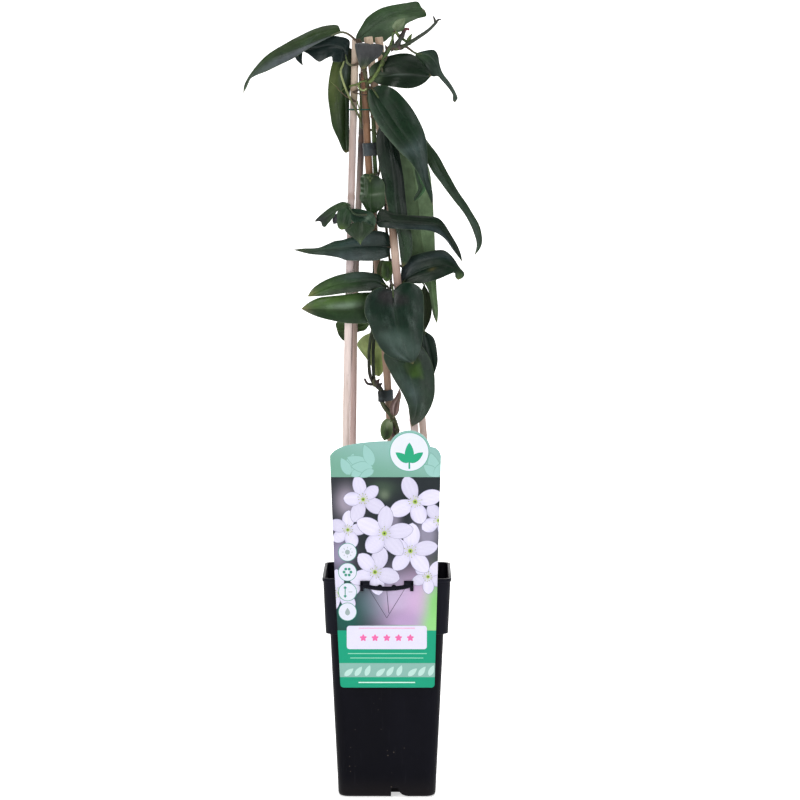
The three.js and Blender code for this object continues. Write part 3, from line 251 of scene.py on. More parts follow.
class Material:
    """One material's node tree, with short calls for the nodes used here."""

    def __init__(self, name):
        self.data = bpy.data.materials.new(name)
        self.data.use_nodes = True
        self.tree = self.data.node_tree
        self.shader = self.tree.nodes["Principled BSDF"]

    def node(self, kind, inputs, output=0, **settings):
        made = self.tree.nodes.new("ShaderNode" + kind)
        for key, value in settings.items():
            setattr(made, key, value)
        for key, value in inputs.items():
            if isinstance(value, bpy.types.NodeSocket):
                self.tree.links.new(value, made.inputs[key])
            else:
                made.inputs[key].default_value = value
        return made.outputs[output]

    def value(self, name, output):
        return self.node("Attribute", {}, output, attribute_name=name)

    def place(self, output="Object"):
        return self.node("TexCoord", {}, output)

    def stretch(self, vector, scale):
        return self.node("Mapping", {"Vector": vector, "Scale": scale})

    def split(self, vector):
        made = self.tree.nodes.new("ShaderNodeSeparateXYZ")
        self.tree.links.new(vector, made.inputs[0])
        return made.outputs

    def maths(self, operation, a, b=0.0):
        return self.node("Math", {0: a, 1: b}, operation=operation)

    def fade(self, value, start, end, low=0.0, high=1.0):
        """low up to start, then smoothly to high at end."""
        inputs = {"Value": value, "From Min": start, "From Max": end, "To Min": low, "To Max": high}
        return self.node("MapRange", inputs, interpolation_type="SMOOTHSTEP")

    def noise(self, vector, scale, detail=3.0, roughness=0.55):
        inputs = {"Vector": vector, "Scale": scale, "Detail": detail, "Roughness": roughness}
        return self.node("TexNoise", inputs)

    def cells(self, vector, scale, feature="F1", output="Distance"):
        return self.node("TexVoronoi", {"Vector": vector, "Scale": scale}, output, feature=feature)

    def mix(self, share, a, b, kind="MIX"):
        a = rgba(a) if isinstance(a, np.ndarray) else a
        b = rgba(b) if isinstance(b, np.ndarray) else b
        return self.node("Mix", {0: share, 6: a, 7: b}, 2, data_type="RGBA", blend_type=kind)

    def shade(self, colour, amount):
        """Multiplies a colour by a grey amount."""
        grey = self.node("CombineColor", {0: amount, 1: amount, 2: amount})
        return self.mix(1.0, colour, grey, "MULTIPLY")

    def bump(self, height, strength, depth_mm):
        inputs = {"Height": height, "Strength": strength, "Distance": depth_mm * MM}
        return self.node("Bump", inputs)

    def finish(self, colour, roughness, normal=None, **sockets):
        """Links colour, roughness and normal, and sets the shader's other sockets by name."""
        self.tree.links.new(colour, self.shader.inputs["Base Color"])
        self.tree.links.new(roughness, self.shader.inputs["Roughness"])
        if normal is not None:
            self.tree.links.new(normal, self.shader.inputs["Normal"])
        for key, value in sockets.items():
            self.shader.inputs[key.replace("_", " ")].default_value = value
        return self.data


def leaf_material():
    """Leathery leaf: pale midrib, two long side veins, a fine net between them, matt underside, and a painted
    sheen of flecked grey-blue clouds on the upper side.
    """
    m = Material("leaf_skin")
    # The form's middle value is the leaf's share of painted sheen.
    across, sheen_share, under = m.split(m.value("form", "Vector"))[:3]
    out = m.maths("ABSOLUTE", across)
    midrib = m.fade(out, 0.0, 0.03, 0.6, 0.0)
    side = m.fade(m.maths("ABSOLUTE", m.maths("SUBTRACT", out, 0.47)), 0.0, 0.022, 0.36, 0.0)
    flat = m.value("flat", "Vector")
    net = m.fade(m.cells(flat, 0.3, "DISTANCE_TO_EDGE"), 0.0, 0.07, 0.34, 0.0)
    fine = m.fade(m.cells(flat, 1.1, "DISTANCE_TO_EDGE"), 0.0, 0.12, 0.12, 0.0)
    veins = m.maths("MAXIMUM", m.maths("MAXIMUM", midrib, side), m.maths("MAXIMUM", net, fine))
    tint = m.value("tint", "Color")
    mottle = m.fade(m.noise(m.place(), 120.0), 0.3, 0.7, 0.82, 1.18)
    colour = m.shade(tint, mottle)
    pale = m.mix(0.4, m.shade(colour, 1.8), srgb(96, 118, 82))
    colour = m.mix(m.maths("MULTIPLY", veins, m.fade(under, 0.4, 0.6, 0.2, 0.34)), colour, pale)
    cloud = m.noise(m.stretch(flat, (1.0, 0.45, 1.0)), 0.11, 3.0, 0.6)
    flecks = m.fade(m.noise(flat, 0.8, 3.0, 0.7), 0.42, 0.62, 0.45, 1.0)
    # Painted sheen: grey-blue clouds broken into flecks lighten the colour, mostly on the upper side.
    painted_sheen = m.maths("MULTIPLY", m.fade(cloud, 0.5, 0.72, 0.0, 0.3), m.fade(under, 0.4, 0.6, 1.0, 0.2))
    painted_sheen = m.maths("MULTIPLY", m.maths("MULTIPLY", painted_sheen, flecks), sheen_share)
    colour = m.mix(painted_sheen, colour, srgb(84, 98, 92))
    margin = m.fade(out, 0.955, 1.0, 0.0, 0.3)
    colour = m.mix(margin, colour, srgb(104, 118, 92))
    gloss = m.fade(cloud, 0.35, 0.65, 0.42, 0.25)
    roughness = m.maths("ADD", gloss, m.maths("MULTIPLY", under, 0.25))
    grain = m.noise(flat, 3.5, 2.0)
    height = m.maths("SUBTRACT", m.maths("MULTIPLY", grain, 0.25), veins)
    normal = m.bump(height, 0.4, 0.12)
    return m.finish(colour, roughness, normal, Specular_IOR_Level=0.2)


def bark_material(name, roughness_low, streak_strength):
    """Young stems and stalks: tinted by height, with fine streaks along them."""
    m = Material(name)
    tint = m.value("tint", "Color")
    streaks = m.noise(m.stretch(m.place(), (1.0, 1.0, 0.12)), 900.0)
    blotches = m.noise(m.place(), 220.0)
    colour = m.shade(tint, m.fade(streaks, 0.3, 0.7, 1 - streak_strength, 1 + streak_strength))
    colour = m.shade(colour, m.fade(blotches, 0.3, 0.7, 0.82, 1.15))
    roughness = m.fade(blotches, 0.2, 0.8, roughness_low, roughness_low + 0.2)
    return m.finish(colour, roughness, m.bump(streaks, 0.4, 0.15), Specular_IOR_Level=0.2)


def cane_material():
    """Bamboo: long faint streaks, small dark flecks, darker nodes with a pale line above them."""
    m = Material("bamboo")
    tint = m.value("tint", "Color")
    joint, cut, _ = m.split(m.value("form", "Vector"))[:3]
    fibres = m.noise(m.stretch(m.place(), (1.0, 1.0, 0.03)), 1400.0, 4.0)
    broad = m.noise(m.stretch(m.place(), (1.0, 1.0, 0.06)), 260.0)
    flecks = m.fade(m.cells(m.stretch(m.place(), (1.0, 1.0, 0.3)), 420.0), 0.06, 0.13, 1.0, 0.0)
    colour = m.shade(tint, m.fade(fibres, 0.3, 0.7, 0.9, 1.07))
    colour = m.mix(m.fade(broad, 0.42, 0.7, 0.0, 0.3), colour, srgb(150, 118, 100))
    speckled = m.maths("MULTIPLY", flecks, m.fade(m.noise(m.place(), 60.0), 0.5, 0.62, 0.0, 0.6))
    colour = m.mix(speckled, colour, srgb(96, 70, 54))
    colour = m.mix(m.maths("MULTIPLY", joint, 0.55), colour, srgb(120, 92, 74))
    rings = m.fade(m.noise(m.place(), 2600.0, 2.0), 0.35, 0.65)
    colour = m.mix(cut, colour, m.mix(rings, srgb(196, 172, 150), srgb(232, 212, 192)))
    roughness = m.fade(broad, 0.3, 0.7, 0.42, 0.6)
    return m.finish(colour, roughness, m.bump(fibres, 0.35, 0.12), Specular_IOR_Level=0.25)


def pot_material():
    """Black moulded plastic, a little dusty, with specks of dried soil low on the walls."""
    m = Material("pot_plastic")
    place = m.place()
    height = m.split(place)[2]
    haze = m.noise(m.stretch(place, (1.0, 1.0, 0.25)), 28.0, 4.0)
    scuffs = m.noise(m.stretch(place, (1.0, 1.0, 0.05)), 420.0, 3.0)
    colour = m.mix(m.fade(height, 0.138, 0.146), srgb(4, 4, 12), srgb(15, 16, 25))
    colour = m.mix(m.fade(haze, 0.4, 0.75, 0.0, 0.25), colour, srgb(24, 24, 34))
    colour = m.mix(m.fade(scuffs, 0.62, 0.8, 0.0, 0.08), colour, srgb(78, 76, 82))
    specks = m.fade(m.cells(place, 190.0), 0.05, 0.16, 1.0, 0.0)
    patches = m.fade(m.noise(place, 75.0), 0.54, 0.66)
    low = m.fade(height, 0.035, 0.105, 1.0, 0.12)
    dirt = m.maths("MULTIPLY", m.maths("MULTIPLY", specks, patches), low)
    colour = m.mix(m.maths("MULTIPLY", dirt, 0.4), colour, srgb(112, 102, 92))
    dust = m.fade(height, 0.0, 0.02, 0.16, 0.0)
    colour = m.mix(dust, colour, srgb(62, 56, 52))
    roughness = m.maths("ADD", m.fade(haze, 0.3, 0.7, 0.36, 0.5), m.maths("MULTIPLY", dirt, 0.4))
    grain = m.noise(place, 2400.0, 2.0)
    normal = m.bump(m.maths("ADD", grain, dirt), 0.25, 0.1)
    return m.finish(colour, roughness, normal, Specular_IOR_Level=0.07)


def soil_material():
    """Dark crumbly potting soil with bark fibre; grains keep their own tint."""
    m = Material("soil_crumb")
    place = m.place()
    tint = m.value("tint", "Color")
    coarse = m.noise(place, 260.0, 5.0, 0.65)
    colour = m.shade(tint, m.fade(coarse, 0.25, 0.75, 0.45, 1.6))
    fibre = m.fade(m.noise(m.stretch(place, (0.2, 1.0, 1.0)), 700.0), 0.63, 0.7)
    colour = m.mix(m.maths("MULTIPLY", fibre, 0.5), colour, srgb(112, 80, 52))
    roughness = m.fade(coarse, 0.3, 0.7, 0.8, 0.98)
    return m.finish(colour, roughness, m.bump(coarse, 0.9, 1.2))


def soft_plastic(name, worn, roughness):
    """Thin coloured plastic with a faint grain and paler rubbed places."""
    m = Material(name)
    rubbed = m.noise(m.place(), 330.0, 3.0)
    mixed = m.mix(m.fade(rubbed, 0.45, 0.75, 0.0, 0.4), m.value("tint", "Color"), worn)
    rough = m.fade(rubbed, 0.3, 0.7, roughness - 0.06, roughness + 0.08)
    normal = m.bump(m.noise(m.place(), 1800.0, 2.0), 0.2, 0.06)
    return m.finish(mixed, rough, normal, Specular_IOR_Level=0.25)


def card_material():
    """Coated card: printed colours under a thin even gloss."""
    m = Material("printed_card")
    tint = m.value("tint", "Color")
    ink = m.noise(m.place(), 2200.0, 2.0)
    colour = m.shade(tint, m.fade(ink, 0.3, 0.7, 0.965, 1.03))
    roughness = m.fade(m.noise(m.place(), 40.0), 0.3, 0.7, 0.36, 0.46)
    return m.finish(colour, roughness, m.bump(ink, 0.06, 0.04), Specular_IOR_Level=0.14)


LEAF = leaf_material()
SHOOT = bark_material("young_shoot", 0.38, 0.12)
BARK = bark_material("old_stem", 0.55, 0.28)
BAMBOO = cane_material()
POT = pot_material()
SOIL = soil_material()
CLIP = soft_plastic("clip_plastic", srgb(78, 86, 90), 0.42)
WIRE = soft_plastic("wire_coat", srgb(34, 84, 70), 0.4)
CARD = card_material()

# ----------------------------------------------------------------------------------------------
# Pot: a thin moulded shell with collar, lip, drain channels and the bar that holds the label
# ----------------------------------------------------------------------------------------------

WALL = 1.6
FLOOR_TOP = 2
BASE_HALF = 41.6
CHANNEL_LEFT = 3.5
CHANNEL_RIGHT = 9.4
CHANNEL_TOE = 18
CHANNEL_HEIGHT = 7.5
CHANNEL_INNER_END = 21
DRAIN_HOLE = (6.45, -25)
DRAIN_RADIUS = 2.6
SIDE_STEPS = 14
CORNER_STEPS = 8

# Outside of the pot from the base to the lip, then the inside back down: height, half width, corner.
POT_PROFILE = [
    (0.0, 39.3, 7.2), (0.25, 40.0, 7.6), (0.9, 40.9, 8), (2.2, 41.5, 8), (3.4, 41.7, 8),
    (70, 45.0, 8), (140.6, 48.3, 8), (141.5, 48.45, 8), (141.9, 48.8, 8), (142.0, 49.4, 8),
    (142.0, 51.5, 8), (142.2, 51.95, 8), (142.8, 52.15, 8), (165, 53.2, 8), (186.2, 54.15, 8),
    (186.9, 54.25, 8), (187.05, 54.6, 8), (187.3, 54.9, 8), (187.8, 55.0, 8), (189.3, 55.0, 8),
    (189.8, 54.85, 8), (190.0, 54.5, 7.8), (190.0, 53.1, 6.6), (189.8, 52.75, 6.4), (189.2, 52.6, 6.4),
    (165, 51.55, 6.4), (144.4, 50.6, 6.4), (143.7, 50.3, 6.2), (143.6, 49.9, 6), (143.6, 47.4, 6.2),
    (143.3, 47.0, 6.4), (142.4, 46.85, 6.4), (60, 42.9, 6.4), (3, 40.2, 6.4), (2.0, 39.4, 6),
]


def square_ring(half, corner, z, bow=0.0):
    """A rounded square at a height; bow swells the middle of each side outwards."""
    ring = []
    for quarter in range(4):
        turn = math.pi / 2 * quarter
        c, s = math.cos(turn), math.sin(turn)
        local = []
        for i in range(SIDE_STEPS):
            y = -(half - corner) + 2 * (half - corner) * i / SIDE_STEPS
            local.append((half + bow * (1 - (y / (half - corner)) ** 2), y))
        for i in range(CORNER_STEPS):
            a = math.pi / 2 * i / CORNER_STEPS
            local.append((half - corner + corner * math.cos(a), half - corner + corner * math.sin(a)))
        ring += [(x * c - y * s, x * s + y * c, z) for x, y in local]
    return np.array(ring)


def plain_object(name, points, faces):
    mesh = bpy.data.meshes.new(name)
    mesh.from_pydata((np.asarray(points) * MM).tolist(), [], faces)
    return add_object(name, mesh)


def combine(base, tools, operation):
    """Cuts or joins the base with each tool in turn; the tools are used up."""
    for tool in tools:
        step = base.modifiers.new("step", "BOOLEAN")
        step.operation = operation
        step.solver = "EXACT"
        step.object = tool
        bpy.context.view_layer.update()
        evaluated = base.evaluated_get(bpy.context.evaluated_depsgraph_get())
        result = bpy.data.meshes.new_from_object(evaluated)
        base.modifiers.clear()
        base.data = result
        bpy.data.objects.remove(tool)
    return base


def bend(start, corner, end, count):
    """Points along a bend that is drawn towards a corner, without the start itself."""
    t = np.linspace(0, 1, count + 1)[1:, None]
    start, corner, end = np.array(start), np.array(corner), np.array(end)
    return ((1 - t) ** 2 * start + 2 * t * (1 - t) * corner + t * t * end).tolist()


def channel_section(grow):
    """The drain channel's section in X and Z: upright on one side, curving out to the ground."""
    left, right, toe = CHANNEL_LEFT - grow, CHANNEL_RIGHT + grow, CHANNEL_TOE + grow
    foot = FLOOR_TOP / 2 if grow > 0 else -1
    top, ground = CHANNEL_HEIGHT + grow, 0.3 + grow
    section = [(left, foot), (toe, foot), (toe, ground)]
    section += bend((toe, ground), (right + 1.6, 1 + grow), (right, top), 8)
    return section + [(left, top)]


def turned(points, quarter):
    a = math.pi / 2 * quarter
    x, y, z = np.asarray(points).T
    return np.stack([x * math.cos(a) - y * math.sin(a), x * math.sin(a) + y * math.cos(a), z], axis=1)


def prism(section, near, far):
    """Section in X and Z, swept from Y = -near to Y = -far."""
    ring = [np.array([(x, -y, z) for x, z in section]) for y in (far, near)]
    count = len(section)
    faces = [tuple(range(count))[::-1], tuple(range(count, 2 * count))]
    faces += [(i, (i + 1) % count, (i + 1) % count + count, i + count) for i in range(count)]
    return np.vstack(ring), [face[::-1] for face in faces]


def make_pot():
    rings = [square_ring(half, corner, z, bow=0.35 * math.sin(math.pi * min(z, 140) / 140))
             for z, half, corner in POT_PROFILE]
    shell = plain_object("pot_shell", *lofted(rings))
    ridges, channels, holes = [], [], []
    for quarter in range(4):
        for made, grow, inner, outer in ((ridges, WALL, CHANNEL_INNER_END - WALL, BASE_HALF - 1.2),
                                         (channels, 0, CHANNEL_INNER_END, BASE_HALF + 5)):
            points, faces = prism(channel_section(grow), inner, outer)
            made.append(plain_object("tool", turned(points, quarter), faces))
        a = np.linspace(0, 2 * math.pi, 20, endpoint=False)
        hole_x, hole_y = DRAIN_HOLE
        section = [(hole_x + DRAIN_RADIUS * math.cos(t), hole_y + DRAIN_RADIUS * math.sin(t)) for t in a]
        rings = [np.array([(x, y, z) for x, y in section]) for z in (3.5, 11.5)]
        points, faces = lofted(rings)
        holes.append(plain_object("tool", turned(points, quarter), faces))
    combine(shell, ridges, "UNION")
    combine(shell, channels + holes, "DIFFERENCE")
    mesh = shell.data
    mesh.materials.append(POT)
    mesh.shade_smooth()
    mesh.set_sharp_from_angle(angle=math.radians(32))
    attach(shell, "root")
    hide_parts("pot")


def rounded_block(low, high, edge=0.35):
    """A box with its edges and corners rounded off, as an ellipsoid-cornered loft."""
    low, high = np.array(low, float), np.array(high, float)
    centre, half = (low + high) / 2, (high - low) / 2
    rings = []
    for t in np.linspace(0, math.pi, 9):
        depth = -math.cos(t)
        at_end = abs(depth) > 0.98
        inset = edge * (1 - abs(math.sin(t)) ** 0.5) if at_end else 0
        if not at_end:
            depth = math.copysign(min(abs(depth) * 1.04, 1 - 0.5 * edge / half[1]), depth)
        ring = []
        for quarter in range(4):
            sx, sz = ((1, 1), (-1, 1), (-1, -1), (1, -1))[quarter]
            for i in range(4):
                a = math.pi / 2 * (quarter + i / 3)
                ring.append((centre[0] + sx * (half[0] - edge) + (edge - inset) * math.cos(a),
                             centre[1] + half[1] * depth,
                             centre[2] + sz * (half[2] - edge) + (edge - inset) * math.sin(a)))
        rings.append(np.array(ring))
    points, faces = lofted(rings)
    return points, [face[::-1] for face in faces]


BAR_TOP = 188.2
BAR_FRONT = -58
BAR_BACK = -53.5
BAR_HALF = 22.3
BAR_BOW = 3.4  # how far the strip's middle hangs below its ends
BAR_DROP = 1.6  # from the end blocks' top down to the strip's ends
BAR_STRIP = 3  # height of the strip
END_WIDTH, END_HEIGHT = 7.4, 3.4
HOOK_WIDTH, HOOK_DROP = 2.2, 8.4
STUD_X, STUD_DROP, STUD_RADIUS = 6, 0.4, 2.2


def bar_height(x):
    """Height of the bowed strip's top edge."""
    radius = (BAR_HALF**2 + BAR_BOW**2) / (2 * BAR_BOW)
    return BAR_TOP - BAR_DROP - BAR_BOW + radius - math.sqrt(radius**2 - min(abs(x), BAR_HALF) ** 2)


def squared(value):
    """Pushes a sine or cosine outwards, so that a circle becomes a rounded box."""
    return np.sign(value) * np.abs(value) ** 0.35


def make_label_bar():
    """The moulded bar in front of the card: bowed strip, two studs, end blocks and hooked ends."""
    build = Build()
    black = srgb(25, 24, 30)
    middle_y, half_depth = (BAR_FRONT + BAR_BACK) / 2, 2.2
    around = np.linspace(0, 2 * math.pi, 16, endpoint=False)
    rings = []
    for x in np.linspace(-BAR_HALF + 0.4, BAR_HALF - 0.4, 25):
        middle_z = bar_height(x) - BAR_STRIP / 2
        rings.append(np.array([(x, middle_y + half_depth * squared(math.cos(a)),
                                middle_z + BAR_STRIP / 2 * squared(math.sin(a))) for a in around]))
    build.add(*lofted(rings), black)
    around = np.linspace(0, 2 * math.pi, 18, endpoint=False)
    levels = ((BAR_BACK, STUD_RADIUS), (BAR_FRONT + 0.4, STUD_RADIUS), (BAR_FRONT + 0.1, 2.0),
              (BAR_FRONT, 1.7))
    for side in (-1, 1):
        for width, foot, top in ((END_WIDTH, BAR_TOP - END_HEIGHT, BAR_TOP),
                                 (HOOK_WIDTH, BAR_TOP - HOOK_DROP, BAR_TOP - 1)):
            left, right = sorted((side * BAR_HALF, side * (BAR_HALF - width)))
            build.add(*rounded_block((left, BAR_FRONT, foot), (right, BAR_BACK, top)), black)
        x, z = side * STUD_X, bar_height(STUD_X) - STUD_DROP
        rings = [np.array([(x + r * math.cos(a), y, z + r * math.sin(a)) for a in around]) for y, r in levels]
        build.add(*lofted(rings), black)
    build.piece("pot_label_bar", [POT], sharp=40)


SOIL_TOP = 172
SOIL_FOOT = 10.5
SOIL_HALF = 51.3
SOIL_CORNER = 6.4
SOIL_CELLS = 84
SOIL_WALLS = ((146, 50.4), (144, 46.4), (60, 42.4), (SOIL_FOOT, 39.8))  # height, half width
SOIL_DARK, SOIL_BROWN = srgb(46, 33, 25), srgb(74, 52, 38)
CRUMBS, PALE_GRAINS = 620, 26
CRUMB_REACH = 48.5


def soil_surface():
    """The crumbly top: a square grid of points drawn in to the pot's round corners, and its colours."""
    steps = np.linspace(-SOIL_HALF, SOIL_HALF, SOIL_CELLS + 1)
    x, y = [axis.ravel() for axis in np.meshgrid(steps, steps)]
    flat = np.stack([x, y, np.zeros_like(x)], axis=1)
    lumps = 1.1 * bumps(flat, 11, 1) + 0.7 * bumps(flat, 4, 2) + 0.5 * bumps(flat, 1.7, 3)
    out = np.maximum(abs(x), abs(y))
    rim = smooth_step(out, SOIL_HALF - 5, SOIL_HALF)
    top = np.stack([x, y, SOIL_TOP - 1.6 + lumps - 1.2 * rim], axis=1)
    reach = np.maximum(out, 1e-6)
    ray = np.stack([abs(x), abs(y)], axis=1) / reach[:, None] * SOIL_HALF
    inner = SOIL_HALF - SOIL_CORNER
    dot, square = ray.sum(axis=1) * inner, (ray**2).sum(axis=1)
    root = np.sqrt(np.maximum(dot**2 - square * (2 * inner**2 - SOIL_CORNER**2), 0))
    share = np.where(ray.min(axis=1) > inner, (dot + root) / square, 1)
    top[:, :2] *= (1 - (1 - share) * (reach / SOIL_HALF) ** 3)[:, None]
    return top, blend(SOIL_DARK, SOIL_BROWN, smooth_step(bumps(flat, 6, 4), -0.4, 0.6))


def add_plug(build, top, tint):
    """The soil's closed body: its top, and walls that follow the inside of the pot to its floor."""
    side = SOIL_CELLS + 1
    edge = [*range(side), *range(2 * side - 1, side * side, side),
            *range(side * side - 2, side * (side - 1) - 1, -1), *range(side * (side - 2), 0, -side)]
    walls = []
    for height, reach in SOIL_WALLS:
        scale = reach / SOIL_HALF
        walls.append(top[edge] * (scale, scale, 0) + (0, 0, height))
    points = np.vstack([top, *walls, [(0, 0, SOIL_FOOT)]])
    faces = grid_faces(side, side)
    count = len(edge)
    rings = [edge] + [list(range(side * side + k * count, side * side + (k + 1) * count)) for k in range(4)]
    for upper, lower in zip(rings, rings[1:]):
        for i in range(count):
            j = (i + 1) % count
            faces.append((upper[j], upper[i], lower[i], lower[j]))
    faces += [(rings[-1][(i + 1) % count], rings[-1][i], len(points) - 1) for i in range(count)]
    below = np.broadcast_to(SOIL_DARK, (len(points) - len(top), 3))
    build.add(points, faces, np.vstack([tint, below]))


def icosahedron():
    """Twelve corners on a unit sphere, and the faces between neighbours, all facing out."""
    phi = (1 + 5**0.5) / 2
    signs = [(s, t) for s in (-1, 1) for t in (-1, 1)]
    corners = unit([(s, t * phi, 0) for s, t in signs] + [(0, s, t * phi) for s, t in signs]
                   + [(t * phi, 0, s) for s, t in signs])
    faces = []
    for face in combinations(range(12), 3):
        if all(np.linalg.norm(corners[i] - corners[j]) < 1.1 for i, j in combinations(face, 2)):
            a, b, c = corners[list(face)]
            faces.append(face if np.dot(np.cross(b - a, c - a), a) > 0 else face[::-1])
    return corners, faces


def add_crumbs(build, top):
    """Loose crumbs and a few pale grains that lie on the soil."""
    dice = random.Random(11)
    corners, faces = icosahedron()
    for number in range(CRUMBS):
        pale = number < PALE_GRAINS
        size = dice.uniform(0.7, 1.4) if pale else dice.choice((0.7, 0.9, 1.2, 1.8)) * dice.uniform(0.7, 1.4)
        x, y = dice.uniform(-CRUMB_REACH, CRUMB_REACH), dice.uniform(-CRUMB_REACH, CRUMB_REACH)
        column, row = [int(round((v + SOIL_HALF) / (2 * SOIL_HALF) * SOIL_CELLS)) for v in (x, y)]
        z = top[row * (SOIL_CELLS + 1) + column][2] + size * 0.25
        squash = np.array([dice.uniform(0.7, 1.5), dice.uniform(0.7, 1.3), dice.uniform(0.5, 0.9)])
        knobs = np.array([dice.uniform(0.75, 1.2) for _ in corners])[:, None]
        spin = dice.uniform(0, math.pi)
        c, s = math.cos(spin), math.sin(spin)
        shape = corners * knobs * squash * size @ np.array([[c, s, 0], [-s, c, 0], [0, 0, 1]])
        if pale:
            colour = srgb(196, 190, 178)
        else:
            colour = blend(SOIL_DARK, SOIL_BROWN, dice.random()) * dice.uniform(0.7, 1.5)
        build.add(shape + (x, y, z), faces, colour)


def make_soil():
    build = Build()
    top, tint = soil_surface()
    add_plug(build, top, tint)
    add_crumbs(build, top)
    build.piece("soil_crumbs", [SOIL], replaces=["soil"], sharp=35)


make_pot()
make_label_bar()
make_soil()

# ----------------------------------------------------------------------------------------------
# Card label: one flat sheet whose triangles follow the printed shapes
# ----------------------------------------------------------------------------------------------

CARD_FRONT = -56.15
CARD_BACK = -55.5
CARD_FOOT = 97
CARD_GRID = 1.7  # spacing of the sheet's own points between those of the printed shapes
SLOT_EASE = 0.35
PRINT_TOP = 277
PRINT_FOOT = 145


def polar(x, z, radius, degrees):
    """The point at a distance and direction from x, z."""
    a = math.radians(degrees)
    return x + radius * math.cos(a), z + radius * math.sin(a)


def circle(x, z, radius, count):
    a = np.linspace(0, 2 * math.pi, count, endpoint=False)
    return list(zip(x + radius * np.cos(a), z + radius * np.sin(a)))


def pointed(x, z, length, width, turn, count=11, blunt=0.8):
    """A leaf or petal outline that starts at x, z and points away at an angle."""
    t = np.linspace(0, 1, count)
    w = width / 2 * np.sin(math.pi * t**blunt) ** (0.8 if blunt < 1 else 0.6)
    c, s = math.cos(math.radians(turn)), math.sin(math.radians(turn))
    outline = [(length * a, b) for a, b in zip(t, w)]
    outline += [(length * a, -b) for a, b in zip(t[-2:0:-1], w[-2:0:-1])]
    return [(x + p * c - q * s, z + p * s + q * c) for p, q in outline]


def line(x0, z0, x1, z1, width):
    across = unit(np.array([z0 - z1, x1 - x0])) * width / 2
    return [(x0 + across[0], z0 + across[1]), (x0 - across[0], z0 - across[1]),
            (x1 - across[0], z1 - across[1]), (x1 + across[0], z1 + across[1])]


def rounded_box(left, right, bottom, top, corner):
    outline = []
    for cx, cz, start in ((right - corner, top - corner, 0), (left + corner, top - corner, 90),
                          (left + corner, bottom + corner, 180), (right - corner, bottom + corner, 270)):
        for i in range(6):
            a = math.radians(start + 18 * i)
            outline.append((cx + corner * math.cos(a), cz + corner * math.sin(a)))
    return outline


def card_outline():
    """The die-cut card: wider at the top, with a bowed top edge and a round tab above it."""
    outline = [[-36.2, CARD_FOOT], [37.6, CARD_FOOT]]
    outline += bend(outline[-1], (40.4, CARD_FOOT), (40.6, 100), 5)
    outline += [[43.4, 206], [45.9, 295]]
    outline += bend(outline[-1], (45, 299.5), (41, 302), 5) + [[36.6, 303]]
    for a in np.linspace(0.25, math.pi - 0.52, 22):
        outline.append([19.1 + 18.2 * math.cos(a), 298.6 + 18.2 * math.sin(a)])
    outline += bend(outline[-1], (-20, 307.6), (-36, 303.4), 8)
    outline += bend(outline[-1], (-45, 300.5), (-48.1, 295), 5)
    outline += [[-44.7, 205], [-39.5, 100]]
    return outline + bend(outline[-1], (-39.3, CARD_FOOT), (-36.2, CARD_FOOT), 5)[:-1]


def slot_outline():
    """The hole that the moulded bar comes through, a little larger than the bar."""
    half, top, foot = BAR_HALF + SLOT_EASE, BAR_TOP + SLOT_EASE, BAR_TOP - HOOK_DROP - SLOT_EASE
    hook = half - HOOK_WIDTH - 2 * SLOT_EASE
    block = half - END_WIDTH - 2 * SLOT_EASE
    lower = [(x, bar_height(x) - BAR_STRIP - SLOT_EASE) for x in np.linspace(-hook, hook, 13)]
    upper = [(x, bar_height(x) + SLOT_EASE) for x in np.linspace(block, -block, 15)]
    return ([(-half, foot), (-hook, foot)] + lower + [(hook, foot), (half, foot), (half, top), (block, top)]
            + upper + [(-block, top), (-half, top)])


def inside(points, outline):
    """Which points are within an outline."""
    p, q = np.asarray(points, float), np.asarray(outline, float)
    x, z = p[:, :1], p[:, 1:]
    x0, z0 = q.T
    x1, z1 = np.roll(q, -1, axis=0).T
    rise = np.where(z1 == z0, 1e-12, z1 - z0)
    crosses = ((z0 > z) != (z1 > z)) & (x < (x1 - x0) * (z - z0) / rise + x0)
    return crosses.sum(axis=1) % 2 == 1


# Blurred glows behind the printed blossoms: x, z, width, height, colour.
PRINT_GLOWS = [(-34, 256, 9, 12, srgb(150, 142, 158)), (-4, 268, 11, 6, srgb(58, 74, 62)),
    (-2, 262, 4, 4, srgb(96, 110, 92)), (34, 228, 9, 13, srgb(140, 136, 156)),
    (-40, 212, 9, 13, srgb(140, 132, 160)), (6, 240, 5, 6, srgb(128, 122, 142)),
    (-12, 168, 16, 14, srgb(60, 92, 96)), (4, 166, 5, 4, srgb(150, 96, 128)),
    (22, 160, 5, 4, srgb(158, 100, 136)), (-34, 156, 14, 16, srgb(28, 82, 74)),
    (12, 174, 20, 18, srgb(186, 172, 202)), (30, 166, 16, 26, srgb(200, 168, 206)),
    (18, 153, 20, 10, srgb(176, 150, 190)), (42, 164, 9, 24, srgb(128, 198, 112)),
    (40, 150, 9, 10, srgb(140, 206, 126))]


def paint_photo(x, z):
    colour = np.broadcast_to(srgb(36, 42, 46), (len(x), 3))
    for cx, cz, width, height, glow in PRINT_GLOWS:
        near = np.exp(-((x - cx) / width) ** 2 - ((z - cz) / height) ** 2)
        colour = blend(colour, glow, np.clip(near * 1.15, 0, 0.95))
    return colour


def paint_header(x, z):
    return blend(srgb(112, 160, 142), srgb(136, 178, 172), smooth_step(x * 0.4 + (z - 290) * 1.6, -24, 26))


def flat_paint(colour):
    def paint(x, z):
        return np.broadcast_to(colour, (len(x), 3))
    return paint


def filled(outline, red, green, blue):
    """A printed shape in one screen colour."""
    return outline, flat_paint(srgb(red, green, blue))


PETAL_LIGHT, PETAL_DARK = srgb(222, 218, 240), srgb(158, 154, 190)


